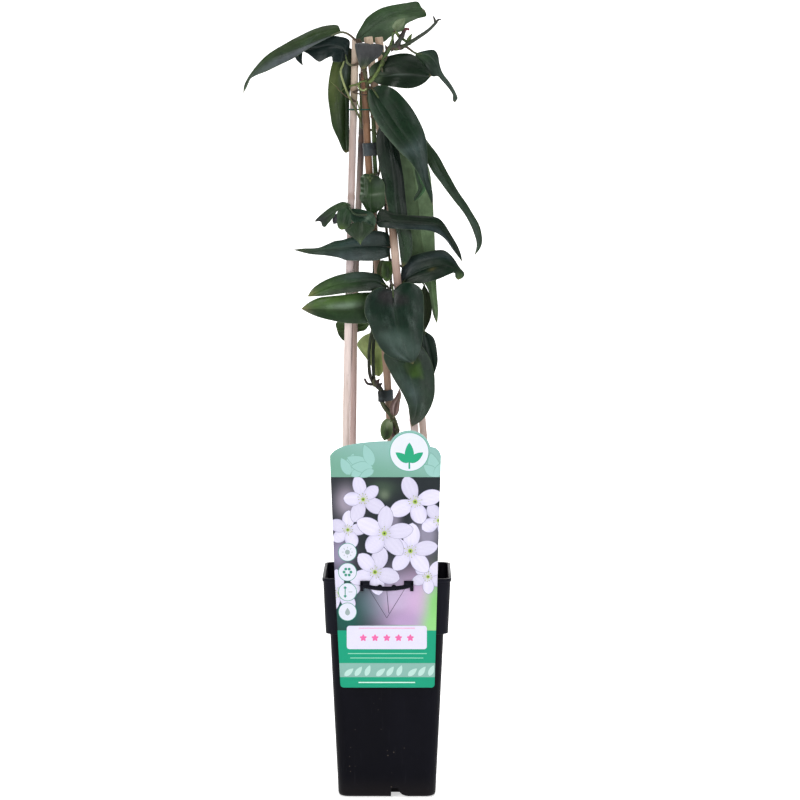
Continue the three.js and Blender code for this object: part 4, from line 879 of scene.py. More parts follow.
def petal_paint(x0, z0, length, turn, light):
    """Petal: bright, with a shaded foot, faint long streaks and a cool outer edge."""
    c, s = math.cos(math.radians(turn)), math.sin(math.radians(turn))

    def paint(x, z):
        along = ((x - x0) * c + (z - z0) * s) / length
        across = (-(x - x0) * s + (z - z0) * c) / length
        streak = 0.5 + 0.5 * np.cos(across * 40)
        foot, edge = smooth_step(0.4 - along, 0, 0.4), smooth_step(abs(across), 0.14, 0.46)
        return blend(light, PETAL_DARK, np.clip(0.45 * foot + 0.5 * edge + 0.14 * streak, 0, 0.9))
    return paint


def blossom(x, z, size, petals, turn):
    """Broad petals round a green heart with fine stamens, as outlines with their paints."""
    made = []
    dice = random.Random(int(x * 7 + z * 13))
    order = list(range(petals))
    dice.shuffle(order)
    for k in order:
        angle = turn + 360 / petals * k + dice.uniform(-9, 9)
        length = size * dice.uniform(0.95, 1.25)
        width = size * dice.uniform(0.6, 0.74)
        shaded = flat_paint(PETAL_DARK * dice.uniform(0.6, 0.75))
        made.append((pointed(x, z, length + 0.3, width + 0.6, angle, count=15, blunt=1.15), shaded))
        paint = petal_paint(x, z, length, angle, PETAL_LIGHT * dice.uniform(0.86, 1.0))
        made.append((pointed(x, z, length, width, angle, count=15, blunt=1.15), paint))
    for k in range(12):
        angle = turn + 30 * k + dice.uniform(-8, 8)
        tip = polar(x, z, size * dice.uniform(0.2, 0.3), angle)
        made.append(filled(line(x, z, *tip, 0.32), 196, 204, 140))
        made.append(filled(circle(*tip, 0.42, 7), 140, 150, 82))
    made.append(filled(circle(x, z, size * 0.1, 12), 158, 184, 80))
    made.append(filled(circle(x, z, size * 0.045, 8), 62, 88, 46))
    return made


# Blossoms of the printed picture: x, z, size, petals, turn.
PRINT_BLOSSOMS = [(-40, 178, 17, 5, 20), (35, 192, 15, 5, 50), (-33, 232, 15, 5, 10),
    (44, 240, 16, 4, 30), (-10, 196, 19, 5, 64), (20, 214, 20, 5, 12), (-20, 258, 17, 5, 40),
    (24, 256, 20, 4, 22), (-2, 229, 21, 5, 85)]


# Pale leaves of the printed header: x, z, length, width, turn.
PRINT_SPRAYS = [
    (-34, 279, 19, 9, 72), (-31, 279, 16, 8, 118), (-30, 278, 15, 7, 30), (-14, 286, 21, 10, 158),
    (-12, 285, 18, 9, 176), (-12, 287, 19, 9, 112), (-11, 283, 13, 6, 206), (42, 278, 20, 10, 104),
    (43, 278, 15, 8, 142), (41, 277, 14, 7, 62),
]


GREY_INK, TEAL_INK, BADGE_INK = (150, 166, 166), (60, 140, 120), (40, 158, 118)
SCORE_INK = (58, 54, 74)
BADGE = (19.1, 298.4)
ICON_X = -33.3
SUN_Z, FLOWER_Z, HEIGHT_Z, DROP_Z = 213, 196, 179, 162
STAR_Z = 139.6


def strip(foot, top):
    """A strip that reaches past both side edges of the card."""
    return [(-60, foot), (60, foot), (60, top), (-60, top)]


def header_shapes():
    """Pale leaves, and a badge with a plain emblem of three leaves on a stalk."""
    shapes = []
    for x, z, length, width, turn in PRINT_SPRAYS:
        shapes.append(filled(pointed(x, z, length + 0.8, width + 0.8, turn), 118, 164, 152))
        shapes.append(filled(pointed(x, z, length, width, turn), 146, 190, 184))
    shapes.append(filled(circle(*BADGE, 16.9, 48), 104, 166, 146))
    shapes.append(filled(circle(*BADGE, 16.1, 48), 216, 220, 238))
    x = BADGE[0]
    for turn, length in ((90, 17), (36, 14.5), (144, 14.5)):
        shapes.append(filled(pointed(x, 289.5, length, length * 0.46, turn), *BADGE_INK))
    shapes.append(filled(line(x, 284, x, 292, 1.5), *BADGE_INK))
    return shapes


def foot_shapes():
    """Green foot of the card, with a paler strip of leaves, a white box of stars, and plain bars."""
    shapes = [filled(strip(90, 146), 24, 152, 118), filled(strip(106, 118), 132, 176, 166)]
    for k in range(9):
        shapes.append(filled(pointed(-36 + 9 * k, 107, 10, 4.5, 40 + 14 * (k % 3)), 180, 214, 206))
    shapes.append(filled(rounded_box(-34, 34, 130, 150, 2.4), 217, 214, 237))
    shapes.append(filled(line(-24, 148, 24, 148, 0.55), 226, 128, 176))
    for k in range(5):
        for turn in range(0, 360, 72):
            shapes.append(filled(pointed(-20 + 10 * k, STAR_Z, 3.3, 2.0, turn + 18, count=5), 226, 104, 162))
    for k, z in enumerate((126.2, 122.4)):
        shapes.append(filled(line(-33 + 2 * k, z, 34 - 3 * k, z, 0.7), 140, 210, 184))
    shapes.append(filled(line(-24, 101.4, 24, 101.4, 0.9), 206, 236, 224))
    return shapes


def icon_shapes():
    """Four discs with plain symbols: a sun, a flower, a double arrow beside a mark, and a drop."""
    shapes = []
    for z in (SUN_Z, FLOWER_Z, HEIGHT_Z, DROP_Z):
        shapes.append(filled(circle(ICON_X, z, 7.9, 32), 70, 150, 130))
        shapes.append(filled(circle(ICON_X, z, 7.4, 32), 214, 216, 230))
    for turn in range(0, 360, 45):
        ray = (*polar(ICON_X, SUN_Z, 3.2, turn), *polar(ICON_X, SUN_Z, 4.6, turn))
        shapes.append(filled(line(*ray, 0.5), *GREY_INK))
    shapes.append(filled(circle(ICON_X, SUN_Z, 2.1, 14), *GREY_INK))
    for turn in range(0, 360, 60):
        shapes.append(filled(circle(*polar(ICON_X, FLOWER_Z, 2.9, turn), 1.25, 9), *TEAL_INK))
    arrow = -35.3
    shapes.append(filled(line(arrow, 175.4, arrow, 182.6, 0.8), *TEAL_INK))
    shapes.append(filled(pointed(arrow, 181.4, 2.6, 2.6, 90, count=5), *TEAL_INK))
    shapes.append(filled(pointed(arrow, 176.6, 2.6, 2.6, 270, count=5), *TEAL_INK))
    shapes.append(filled(line(-32.4, HEIGHT_Z, -29.2, HEIGHT_Z, 0.6), *GREY_INK))
    shapes.append(filled(pointed(ICON_X, 165.4, 6.6, 4.2, 270, blunt=1.5), *GREY_INK))
    return shapes


def card_shapes():
    """Everything printed on the card, from the ground up: outline and paint."""
    shapes = [(strip(PRINT_FOOT, PRINT_TOP), paint_photo)]
    for flower in PRINT_BLOSSOMS:
        shapes += blossom(*flower)
    shapes.append((strip(PRINT_TOP, 330), paint_header))
    shapes += header_shapes() + foot_shapes() + icon_shapes()
    shapes += [filled(line(x, 181.2, 0, 156.7, 0.42), *SCORE_INK) for x in (-15, 15)]
    return shapes + [filled(line(0, 180, 1.8, 160.5, 0.5), *SCORE_INK)]


def sheet_triangles(outline, slot, shapes):
    """The card as flat points and triangles that follow the edges of every printed shape."""
    points, edges = [], []
    for loop in [outline, slot] + [shape for shape, _ in shapes]:
        start = len(points)
        points += [Vector((float(x), float(z))) for x, z in loop]
        edges += [(start + i, start + (i + 1) % len(loop)) for i in range(len(loop))]
    for x in np.arange(-46, 46, CARD_GRID):
        for z in np.arange(98.3, 316, CARD_GRID):
            points.append(Vector((x, z)))
    flat, _, triangles, *_ = geometry.delaunay_2d_cdt(points, edges, [], 0, 1e-4)
    flat = np.array([tuple(p) for p in flat])
    triangles = np.array([tuple(t) for t in triangles])
    centre = flat[triangles].mean(axis=1)
    triangles = triangles[inside(centre, outline) & ~inside(centre, slot)]
    used = np.unique(triangles)
    number = np.full(len(flat), -1)
    number[used] = np.arange(len(used))
    return flat[used], number[triangles]


def print_colours(flat, triangles, shapes):
    """The colour at each corner of each triangle; a later shape covers an earlier one."""
    colour = np.empty((len(triangles), 3, 3))
    centre = flat[triangles].mean(axis=1)
    for shape, paint in shapes:
        within = inside(centre, shape)
        corners = flat[triangles[within]].reshape(-1, 2)
        if len(corners):
            colour[within] = paint(corners[:, 0], corners[:, 1]).reshape(-1, 3, 3)
    return colour


def make_card():
    shapes = card_shapes()
    flat, triangles = sheet_triangles(card_outline(), slot_outline(), shapes)
    colour = print_colours(flat, triangles, shapes)
    lean = -0.9 * smooth_step(flat[:, 1], 190, 330) * ((flat[:, 1] - 190) / 115)
    front = np.stack([flat[:, 0], CARD_FRONT + lean, flat[:, 1]], axis=1)
    back = front + (0, CARD_BACK - CARD_FRONT, 0)
    a, b, c = [front[triangles[:, k]] for k in range(3)]
    flip = np.cross(b - a, c - a)[:, 1] > 0
    triangles[flip] = triangles[flip][:, ::-1]
    colour[flip] = colour[flip][:, ::-1]
    count = len(flat)
    sides = {}
    for a, b, c in triangles:
        for edge in ((a, b), (b, c), (c, a)):
            sides[edge] = True
    rim = [edge for edge in sides if edge[::-1] not in sides]
    faces = [tuple(int(i) for i in t) for t in triangles]
    faces += [tuple(int(i) + count for i in t[::-1]) for t in triangles]
    faces += [(int(b), int(a), int(a) + count, int(b) + count) for a, b in rim]
    made = plain_object("printed_label", np.vstack([front, back]), faces)
    paper = rgba(srgb(226, 228, 226))
    corner = [rgba(c) for face in colour for c in face] + [paper] * (3 * len(triangles) + 4 * len(rim))
    tint = made.data.color_attributes.new("tint", "FLOAT_COLOR", "CORNER")
    tint.data.foreach_set("color", np.array(corner).ravel())
    made.data.materials.append(CARD)
    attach(made, "root")
    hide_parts("label_card")


make_card()

# ----------------------------------------------------------------------------------------------
# Canes, tie wire and clips
# ----------------------------------------------------------------------------------------------

# Each cane: radius, heights of its joints, colours from the foot up as (height, colour), and centre line.
# The colour stops are partly the cane's own tone and dark joints, and partly painted shade: their darker
# stretches high on the canes stand where leaves shade them.
CANES = {
    "cane_front_left": dict(
        radius=3.1, joints=(236, 512, 603, 625),
        colours=[(190, srgb(216, 199, 192)), (400, srgb(215, 198, 193)), (455, srgb(178, 164, 164)),
                 (520, srgb(178, 163, 160)), (560, srgb(168, 154, 150)), (584, srgb(172, 158, 150)),
                 (597, srgb(130, 118, 98)), (604, srgb(176, 160, 142)), (640, srgb(190, 174, 160))],
        path=[(-37.8, -33, 80), (-36, -30, 190), (-33.4, -18.5, 398), (-29.2, -10.5, 551), (-27, -5, 647)]),
    "cane_back_left": dict(
        radius=2.8, joints=(212, 470, 560, 622), painted_shade=(-1, 350, 520),
        colours=[(190, srgb(190, 166, 162)), (340, srgb(178, 154, 150)), (400, srgb(160, 140, 136)),
                 (455, srgb(122, 112, 108)), (510, srgb(146, 134, 130)), (530, srgb(112, 103, 98)),
                 (552, srgb(70, 60, 62)), (575, srgb(82, 76, 70)), (640, srgb(96, 84, 76))],
        path=[(-33.8, 33, 80), (-32.5, 30, 190), (-30, 24, 304), (-26.8, 17, 454), (-21.9, 10, 568),
              (-18.9, 6, 641)]),
    "cane_centre": dict(
        radius=3.2, joints=(231, 309, 402, 486, 577),
        colours=[(190, srgb(160, 136, 118)), (350, srgb(146, 122, 106)), (450, srgb(142, 118, 102)),
                 (538, srgb(128, 97, 74)), (568, srgb(138, 104, 80)), (590, srgb(146, 110, 86)),
                 (612, srgb(140, 102, 80)), (617, srgb(84, 62, 50))],
        path=[(13, 2, 80), (9.4, 1.5, 190), (0.5, 0.6, 348), (-8.2, 0, 451.5), (-15.2, -0.6, 535),
              (-20.1, -1, 620)]),
    "cane_front_right": dict(
        radius=3.4, top=1.12, joints=(226, 322, 402, 521, 606),
        colours=[(190, srgb(196, 180, 176)), (310, srgb(182, 165, 162)), (440, srgb(150, 126, 118)),
                 (465, srgb(180, 158, 144)), (478, srgb(120, 100, 86)), (500, srgb(104, 86, 76)),
                 (545, srgb(150, 130, 114)), (600, srgb(96, 82, 70)), (618, srgb(190, 166, 148)),
                 (640, srgb(200, 178, 156))],
        path=[(38, -33, 80), (34.2, -30, 190), (23.1, -23, 316), (9.8, -15.8, 434.5), (5, -12.8, 485),
              (-6, -7.8, 569), (-15.9, -3, 649)]),
    "cane_back_right": dict(
        radius=3.1, top=1.12, joints=(250, 341, 439, 540, 618),
        colours=[(190, srgb(190, 172, 164)), (310, srgb(178, 160, 152)), (440, srgb(120, 104, 96)),
                 (520, srgb(96, 84, 76)), (600, srgb(96, 78, 66)), (618, srgb(186, 160, 142)),
                 (640, srgb(200, 176, 154))],
        path=[(40, 33, 80), (39.5, 31.5, 190), (30.6, 25, 317), (11.3, 14.5, 485), (-7.4, 4, 649)]),
}


# The cut top of a cane: height above its end, share of its radius, and how much of it is cut face.
CANE_CUT = [(0.9, 1.0, 0), (1.2, 0.95, 1), (1.25, 0.4, 1), (0.8, 0.34, 0.4), (0.3, 0.3, 0.1)]


CANE_SIDES = 20
# Tone of the painted shade laid down one side of a cane where it faces a neighbour.
CANE_SHADE_TONE = srgb(58, 44, 36)


def make_cane(name, radius, joints, colours, path, top=1, painted_shade=None):
    """A bamboo cane: swollen joints with a groove above, long faint flats and a cut top."""
    centre = even_path(path, 2.2)[:-1]
    z = centre[:, 2]
    swell, groove = np.zeros(len(z)), np.zeros(len(z))
    for joint in joints:
        swell += np.exp(-((z - joint) / 1.9) ** 2)
        groove += np.exp(-((z - joint - 3.6) / 1.4) ** 2)
    girth = radius * (0.99 - 0.02 * (z - z[0]) / (z[-1] - z[0]) + 0.09 * swell - 0.05 * groove)
    girth *= 1 + (top - 1) * smooth_step(z, z[-1] - 24, z[-1] - 6)
    centre[:, 0] += 0.08 * radius * np.sin(z / 37 + radius * 9)
    rings = rings_along(centre, girth, CANE_SIDES, flutes=2, flute_depth=0.02)
    middle, forward = rings[-1].mean(axis=0), unit(centre[-1] - centre[-2])
    for lift, share, _ in CANE_CUT:
        rings.append(middle + forward * lift + (rings[len(z) - 1] - middle) * share)
    cut = np.concatenate([np.zeros(len(z)), [face for _, _, face in CANE_CUT]])
    joint = np.clip(np.concatenate([swell + 0.5 * groove, np.zeros(len(CANE_CUT))]), 0, 1)
    points, faces = lofted(rings)
    form = np.stack([spread(joint, CANE_SIDES), spread(cut, CANE_SIDES), np.zeros(len(points))], axis=1)
    heights, tones = zip(*colours)
    tint = between(points[:, 2], heights, tones)
    # Painted shade: darkens the cane's side towards its neighbour over a span of heights.
    if painted_shade:
        side, low, high = painted_shade
        off = (points[:, 0] - np.interp(points[:, 2], z, centre[:, 0])) / radius
        band = smooth_step(points[:, 2], low, low + 30) * smooth_step(high - points[:, 2], 0, 40)
        tint = blend(tint, CANE_SHADE_TONE, 0.85 * band * smooth_step(off * side, 0.2, 0.8))
    build = Build()
    build.add(points, faces, tint, form)
    build.piece("fine_" + name, [BAMBOO], replaces=[name], sharp=45)


for cane_name, cane in CANES.items():
    make_cane(cane_name, **cane)

WIRE_Z = 586.5
WIRE_RADIUS = 0.65
WIRE_GAP = 0.1  # between the wire and what it passes
WIRE_TAIL = 8
WIRE_TINT = srgb(22, 66, 56)
COIL_LENGTH, COIL_RADIUS, COIL_TURNS, COIL_WIRE = 5, 1.25, 3.5, 0.5
# The canes that the wire bears on in turn, and the directions in which it touches each.
WIRE_ROUND = [
    ("cane_back_right", (70, 88)), ("cane_back_left", (95, 130, 165, 195)),
    ("cane_front_left", (170, 200, 230, 260)), ("cane_front_right", (270, 300, 325, 345)),
    ("cane_back_right", (-25, 5, 35, 65, 92)),
]


def make_wire():
    """Coated wire, once round the outer canes, its end twisted back on itself."""
    route = []
    for name, directions in WIRE_ROUND:
        centre = point_at_height(CANES[name]["path"], WIRE_Z)
        reach = CANES[name]["radius"] + WIRE_RADIUS + WIRE_GAP
        for degrees in directions:
            a = math.radians(degrees)
            route.append((centre[0] + reach * math.cos(a), centre[1] + reach * math.sin(a), WIRE_Z))
    lap = 2 * WIRE_RADIUS + WIRE_GAP
    route[0] = (*route[0][:2], WIRE_Z - lap)
    route[1] = (*route[1][:2], WIRE_Z - lap)
    x, y, z = route[-1]
    route.append((x - WIRE_TAIL, y + 0.3, z + 0.3))
    build = Build()
    build.add(*tube(even_path(route, 0.8), WIRE_RADIUS, 10), WIRE_TINT)
    share = np.linspace(0, 1, 60)
    angle = share * 2 * math.pi * COIL_TURNS
    along = COIL_LENGTH * share - COIL_LENGTH / 2
    coil = np.stack([along, COIL_RADIUS * np.cos(angle), COIL_RADIUS * np.sin(angle)], axis=1)
    build.add(*tube(coil + (x - 3.5, y + 0.2, z - 0.55), COIL_WIRE, 8), WIRE_TINT)
    build.piece("fine_tie_wire", [WIRE], replaces=["tie_wire"])


make_wire()

STEM_MAIN = [
    (16, 11, 120), (15, 9, 190), (12.5, 2, 245), (9.8, -4, 275), (7.7, -6, 303), (7.2, -6.5, 316),
    (3.5, -6, 325), (-1.5, -5.6, 331), (-4.3, -4.7, 336.2), (-4.8, -4.5, 341.5), (-5.4, -4.3, 346.9),
    (-10, -2, 351), (-12, 1, 376), (-11.5, 4, 391), (-11, 6, 420), (-11, 7, 455),
    (-10.5, 7, 497), (-9, 5, 517), (-9.6, 1.5, 529), (-10.7, -1.5, 546.5), (-10.9, -1.8, 558),
    (-11.3, -2, 571), (-12, -2.2, 581.5), (-14.5, -5.6, 591), (-15.6, -7.4, 602), (-16.8, -8.4, 608),
    (-18.5, -10, 616), (-21, -11.5, 628), (-23.5, -11.2, 640), (-24, -11, 646)]
STEM_STUB = [(-19.3, -2.5, 356), (-17, -2.3, 352), (-9.5, -2, 351)]
STEM_SIDE = [
    (-9.5, -2, 350.5), (-14, -3.6, 357), (-15.6, -4, 371), (-14.1, -5, 391), (-8, -8, 415), (2, -8.8, 431),
    (3.4, -8, 443), (2.5, -6, 455), (0.5, -4.4, 475), (-1.3, -4, 494), (-1.2, -4.6, 505),
    (-2.6, -5, 519), (-3.6, -5, 527)]
STEM_TOP = [(-16.5, -8.4, 609), (-12.8, -11.5, 611.7), (-8.3, -13.5, 618.2), (-4.7, -14, 624.4),
    (-1.9, -14, 631), (3.1, -13.5, 639), (7.4, -13.5, 638), (13.7, -14, 640), (27.9, -15, 648.5),
    (35.7, -16, 654), (42.2, -17, 660.5)]


CLIP_GREY, CLIP_DARK = srgb(58, 66, 70), srgb(24, 29, 30)
CLIP_WALL = 0.9
CLIP_STEM = 1.7  # radius of the stem where a clip holds it


def make_clip(name, z, height):
    """A soft band round the centre cane and the stem, a little flared at its rims."""
    cane = CANES["cane_centre"]
    below, above = [point_at_height(cane["path"], z + s * height / 2) for s in (-1, 1)]
    middle, lean = (below + above) / 2, unit(above - below)
    stem = point_at_height(STEM_MAIN[:19], z) if z < 500 else point_at_height(STEM_MAIN[18:], z)
    across = np.array([stem[0] - middle[0], stem[1] - middle[1], 0])
    distance = np.linalg.norm(across)
    across = unit(across - lean * np.dot(across, lean))
    other = np.cross(lean, across)

    def band(extra):
        big, small = cane["radius"] + 0.35 + extra, CLIP_STEM + 0.6 + extra
        tilt = math.acos((big - small) / distance)
        a = np.linspace(tilt, 2 * math.pi - tilt, 26)
        b = np.linspace(-tilt, tilt, 14)
        loop = [(big * math.cos(t), big * math.sin(t)) for t in a]
        return loop + [(distance + small * math.cos(t), small * math.sin(t)) for t in b]
    half = height / 2
    section = [(-half, 0.15), (-half, 0.6), (-half + 0.4, CLIP_WALL), (0, CLIP_WALL - 0.15),
               (half - 0.4, CLIP_WALL), (half, 0.6), (half, 0.15), (half - 0.3, 0), (0, 0), (-half + 0.3, 0)]
    loops = []
    for lift, extra in section:
        loops.append(np.array([middle + lean * lift + across * u + other * v for u, v in band(extra)]))
    count = len(loops[0])
    points = np.vstack(loops)
    faces = grid_faces(len(loops), count, closed=True)
    top = (len(loops) - 1) * count
    faces += [(top + c, top + (c + 1) % count, (c + 1) % count, c) for c in range(count)]
    from_cane = (points - middle) @ across
    tint = blend(CLIP_GREY, CLIP_DARK, smooth_step(from_cane, 1.5, distance - 0.5))
    build = Build()
    build.add(points, faces, tint)
    build.piece("fine_" + name, [CLIP], replaces=[name], sharp=60)


make_clip("clip_upper", 552.5, 11)
make_clip("clip_lower", 341.6, 9.4)

# ----------------------------------------------------------------------------------------------
# Stems, twigs, tendrils and buds
# ----------------------------------------------------------------------------------------------

BROWN = srgb(72, 60, 48)
DARK_BROWN = srgb(40, 33, 31)
DARK_GREEN = srgb(44, 54, 38)
GREEN_BARK = srgb(58, 76, 46)
OLIVE_BARK = srgb(74, 78, 52)
LIME = srgb(92, 108, 60)
PALE_LIME = srgb(150, 160, 110)
RED_BROWN = srgb(92, 54, 48)
PURPLE = srgb(96, 76, 80)
DARK_BUD = srgb(58, 50, 50)
DARK_TWIG = srgb(52, 58, 50)


def stem(build, path, radius, colours, joints=(), sides=12, flutes=6, depth=0.07, spacing=1.1, slot=0):
    """A fluted stem; colours run from foot to tip, and joints are swollen rings at shares of its length."""
    centre = even_path(path, spacing)
    share = np.linspace(0, 1, len(centre))
    length = path_length(path)
    girth = np.interp(share, np.linspace(0, 1, len(np.atleast_1d(radius))), np.atleast_1d(radius))
    swell = sum([np.exp(-((share - j) * length / 1.7) ** 2) for j in joints], np.zeros(len(share)))
    girth = girth * (1 + 0.3 * swell) * (1 + 0.05 * bumps(centre, 5, 2))
    tint = between(share, np.linspace(0, 1, len(colours)), colours)
    tint = blend(tint, DARK_BROWN, np.clip(0.6 * swell, 0, 0.7))
    points, faces = tube(centre, girth, sides, flutes, depth)
    build.add(points, faces, tube_values(tint, sides), slot=slot)


BUD_SIDES = 8


def bud(build, foot, tip, width, colours):
    """A pointed bud or scale leaf, round in section."""
    foot, tip = np.array(foot, float), np.array(tip, float)
    share = np.linspace(0, 1, 10)
    girth = width / 2 * (0.25 + 0.95 * np.sin(math.pi * share**0.7) ** 0.9) * (1 - 0.9 * share**3)
    tint = between(share, np.linspace(0, 1, len(colours)), colours)
    points, faces = tube(foot + np.outer(share, tip - foot), girth, BUD_SIDES)
    build.add(points, faces, tube_values(tint, BUD_SIDES))


# Buds and scales of the main stem: foot, tip, width and colours.
MAIN_BUDS = [
    ((7.0, -6.2, 321), (3.6, -7.2, 316.6), 3.2, [RED_BROWN, PURPLE]),
    ((-11.6, -3.2, 349.5), (-6.0, -4.6, 356.6), 4.4, [OLIVE_BARK, DARK_BUD, RED_BROWN]),
    ((-9.6, -3.2, 348.2), (-3.6, -3.9, 353), 3.8, [DARK_BROWN, DARK_BUD]),
    ((-12.4, -3.6, 352), (-9.8, -5.0, 358.2), 2.6, [OLIVE_BARK, DARK_BUD]),
    ((7.6, -7.2, 305), (3.6, -9.6, 310.5), 3.4, [RED_BROWN, PURPLE]),
    ((7.4, -7, 310), (4.6, -9.4, 316.5), 3.2, [DARK_BROWN, PURPLE]),
    ((7.8, -7.2, 303), (10.4, -8.6, 309), 2.6, [RED_BROWN, PURPLE]),
]
# Buds of the top shoot, in the same way.
TOP_BUDS = [
    ((17.3, -12.4, 643.2), (21.6, -13, 651.6), 3.2, [GREEN_BARK, LIME]),
    ((17, -12.4, 643.5), (20.5, -15, 640.5), 2.4, [GREEN_BARK, LIME]),
    ((2.4, -13.4, 637.5), (5.2, -12.4, 649.3), 2.6, [GREEN_BARK, LIME]),
    ((6.8, -14.3, 640), (3.2, -15.2, 634.8), 2.6, [BROWN, DARK_BROWN]),
    ((9.2, -14.8, 641.5), (11.4, -15.4, 636.2), 2.6, [DARK_BROWN, PURPLE]),
    ((-1.2, -14, 632), (-5.4, -15, 636), 2.8, [DARK_GREEN, GREEN_BARK]),
    ((-3.4, -14, 627), (0.8, -15.4, 632), 2.8, [DARK_GREEN, BROWN]),
    ((1, -13.6, 635.6), (-1.8, -15, 642), 2.6, [DARK_BROWN, BROWN]),
    ((-5.2, -14, 623.6), (-3.4, -15.8, 617.6), 2.6, [GREEN_BARK, BROWN]),
]


def make_stems():
    build = Build()
    stem(build, STEM_MAIN, (1.7, 1.9, 2.3, 2.7, 2.5, 1.5, 1.5, 1.6, 2.0, 2.0, 1.9, 1.7), [BROWN, BROWN,
        PURPLE, DARK_BROWN, OLIVE_BARK, DARK_TWIG, DARK_GREEN, DARK_GREEN, GREEN_BARK, GREEN_BARK,
        OLIVE_BARK, BROWN], joints=(0.36, 0.432, 0.62, 0.78, 0.905, 0.955))
    stem(build, STEM_STUB, (0.9, 1.2, 1.5), [DARK_BUD, DARK_BUD, DARK_BROWN])
    for shape in MAIN_BUDS:
        bud(build, *shape)
    build.piece("fine_stem_main", [BARK], replaces=["stem_main"])

    build = Build()
    stem(build, STEM_SIDE, (1.4, 1.3, 1.1, 1.0, 1.0, 1.25, 1.3),
        [DARK_BROWN, DARK_GREEN, DARK_GREEN, DARK_GREEN, BROWN, DARK_BROWN, DARK_BROWN],
        joints=(0.02, 0.45, 0.6, 0.73, 0.83))
    build.piece("fine_stem_side", [BARK], replaces=["stem_side"])

    build = Build()
    stem(build, STEM_TOP, (1.5, 1.4, 1.4, 1.6, 1.9, 1.7, 1.6, 1.5, 1.45, 1.3, 1.1),
         [LIME, LIME, LIME, GREEN_BARK, OLIVE_BARK, DARK_GREEN, DARK_TWIG, DARK_TWIG, DARK_TWIG],
         joints=(0.02, 0.27, 0.45, 0.56))
    stem(build, [(41, -16.8, 659.4), (40.5, -17, 662.5), (39.3, -17.5, 665.2)], (1.2, 1.0, 0.6),
        [DARK_TWIG, DARK_BROWN])
    stem(build, [(41, -16.8, 659.4), (44, -17, 662.6), (45.7, -17, 662.5)], (1.2, 1.0, 0.6),
        [DARK_TWIG, DARK_BROWN])
    stem(build, [(4, -13.5, 638.5), (8.1, -14.5, 641), (12.3, -15, 647.8), (16.2, -15.5, 654.6),
        (18.7, -15.5, 654.2)], (2.0, 1.9, 1.8, 1.6, 1.1),
        [DARK_TWIG, DARK_TWIG, DARK_TWIG, DARK_BROWN, srgb(100, 54, 58)], joints=(0.3, 0.6))
    stem(build, [(5.4, -13.5, 638), (4.8, -12, 645), (5.4, -11, 650.6), (7.4, -11, 652), (10, -12, 649),
        (16.5, -12.5, 644)], (1.3, 1.1, 1.3, 1.2), [DARK_GREEN, GREEN_BARK, LIME, GREEN_BARK],
        joints=(0.2, 0.75))
    for shape in TOP_BUDS:
        bud(build, *shape)
    build.piece("fine_stem_top", [SHOOT], replaces=["stem_top"])


def make_tendrils():
    """The tendril that grips the front left cane, and thinner free ones beside it."""
    cane = CANES["cane_front_left"]
    reach = cane["radius"] + 0.7 + 0.1
    coil = []
    for i in range(11):
        z = 607.6 - 6.1 * i / 10
        centre = point_at_height(cane["path"], z)
        a = math.radians(-70 - 40 * i)
        coil.append((centre[0] + reach * math.cos(a), centre[1] + reach * math.sin(a), z))
    build = Build()
    stem(build, [(-17.4, -10.6, 611), (-22, -12.2, 610), *coil, (-22.5, -12.4, 599.6), (-16.9, -11.4, 599)],
         (0.8, 0.7, 0.6), [LIME, LIME, BROWN, BROWN], flutes=0, depth=0, spacing=0.7, sides=9)
    build.piece("fine_tendril", [SHOOT], replaces=["tendril"])

    build = Build()
    thin = dict(flutes=0, depth=0, spacing=0.6, sides=8)
    stem(build, [(-24, -11, 609), (-23.4, -14, 604.8), (-19.8, -13.6, 602.7), (-17.6, -12.8, 604.2)],
        (1.0, 0.8), [LIME, PALE_LIME], **thin)
    stem(build, [(-47.3, -9, 609.6), (-43, -11, 606), (-39.4, -12, 601.8), (-36.8, -10.6, 604.3)],
        (0.25, 0.45, 0.4), [LIME, BROWN, LIME], **thin)
    stem(build, [(-39.4, -12, 601.8), (-35.5, -13, 598.2), (-31.4, -13.6, 595.8)], (0.42, 0.55),
        [BROWN, BROWN], **thin)
    stem(build, [(-30.5, -13.8, 596.6), (-28.9, -14.2, 594.2), (-26.4, -13.8, 593.4)], (0.7, 1.15, 0.7),
        [DARK_BROWN, BROWN], **thin)
    stem(build, [(-25.2, -13.6, 593.6), (-23.4, -14.2, 586), (-22.3, -13.2, 580.4)], (0.55, 0.4),
        [LIME, LIME], **thin)
    stem(build,
        [(-23.4, -2.6, 617), (-23.1, -2.8, 608), (-22.6, -3, 598), (-22, -3.2, 588), (-21.4, -3.4, 576)],
        (0.7, 1.0, 0.9, 0.5), [BROWN, OLIVE_BARK, LIME, BROWN], **thin)
    build.piece("free_tendrils", [SHOOT])


make_stems()
make_tendrils()

# ----------------------------------------------------------------------------------------------
# Leaves. A blade is its midrib, its left edge and its right edge; a stalk runs to its stem's axis.
# ----------------------------------------------------------------------------------------------

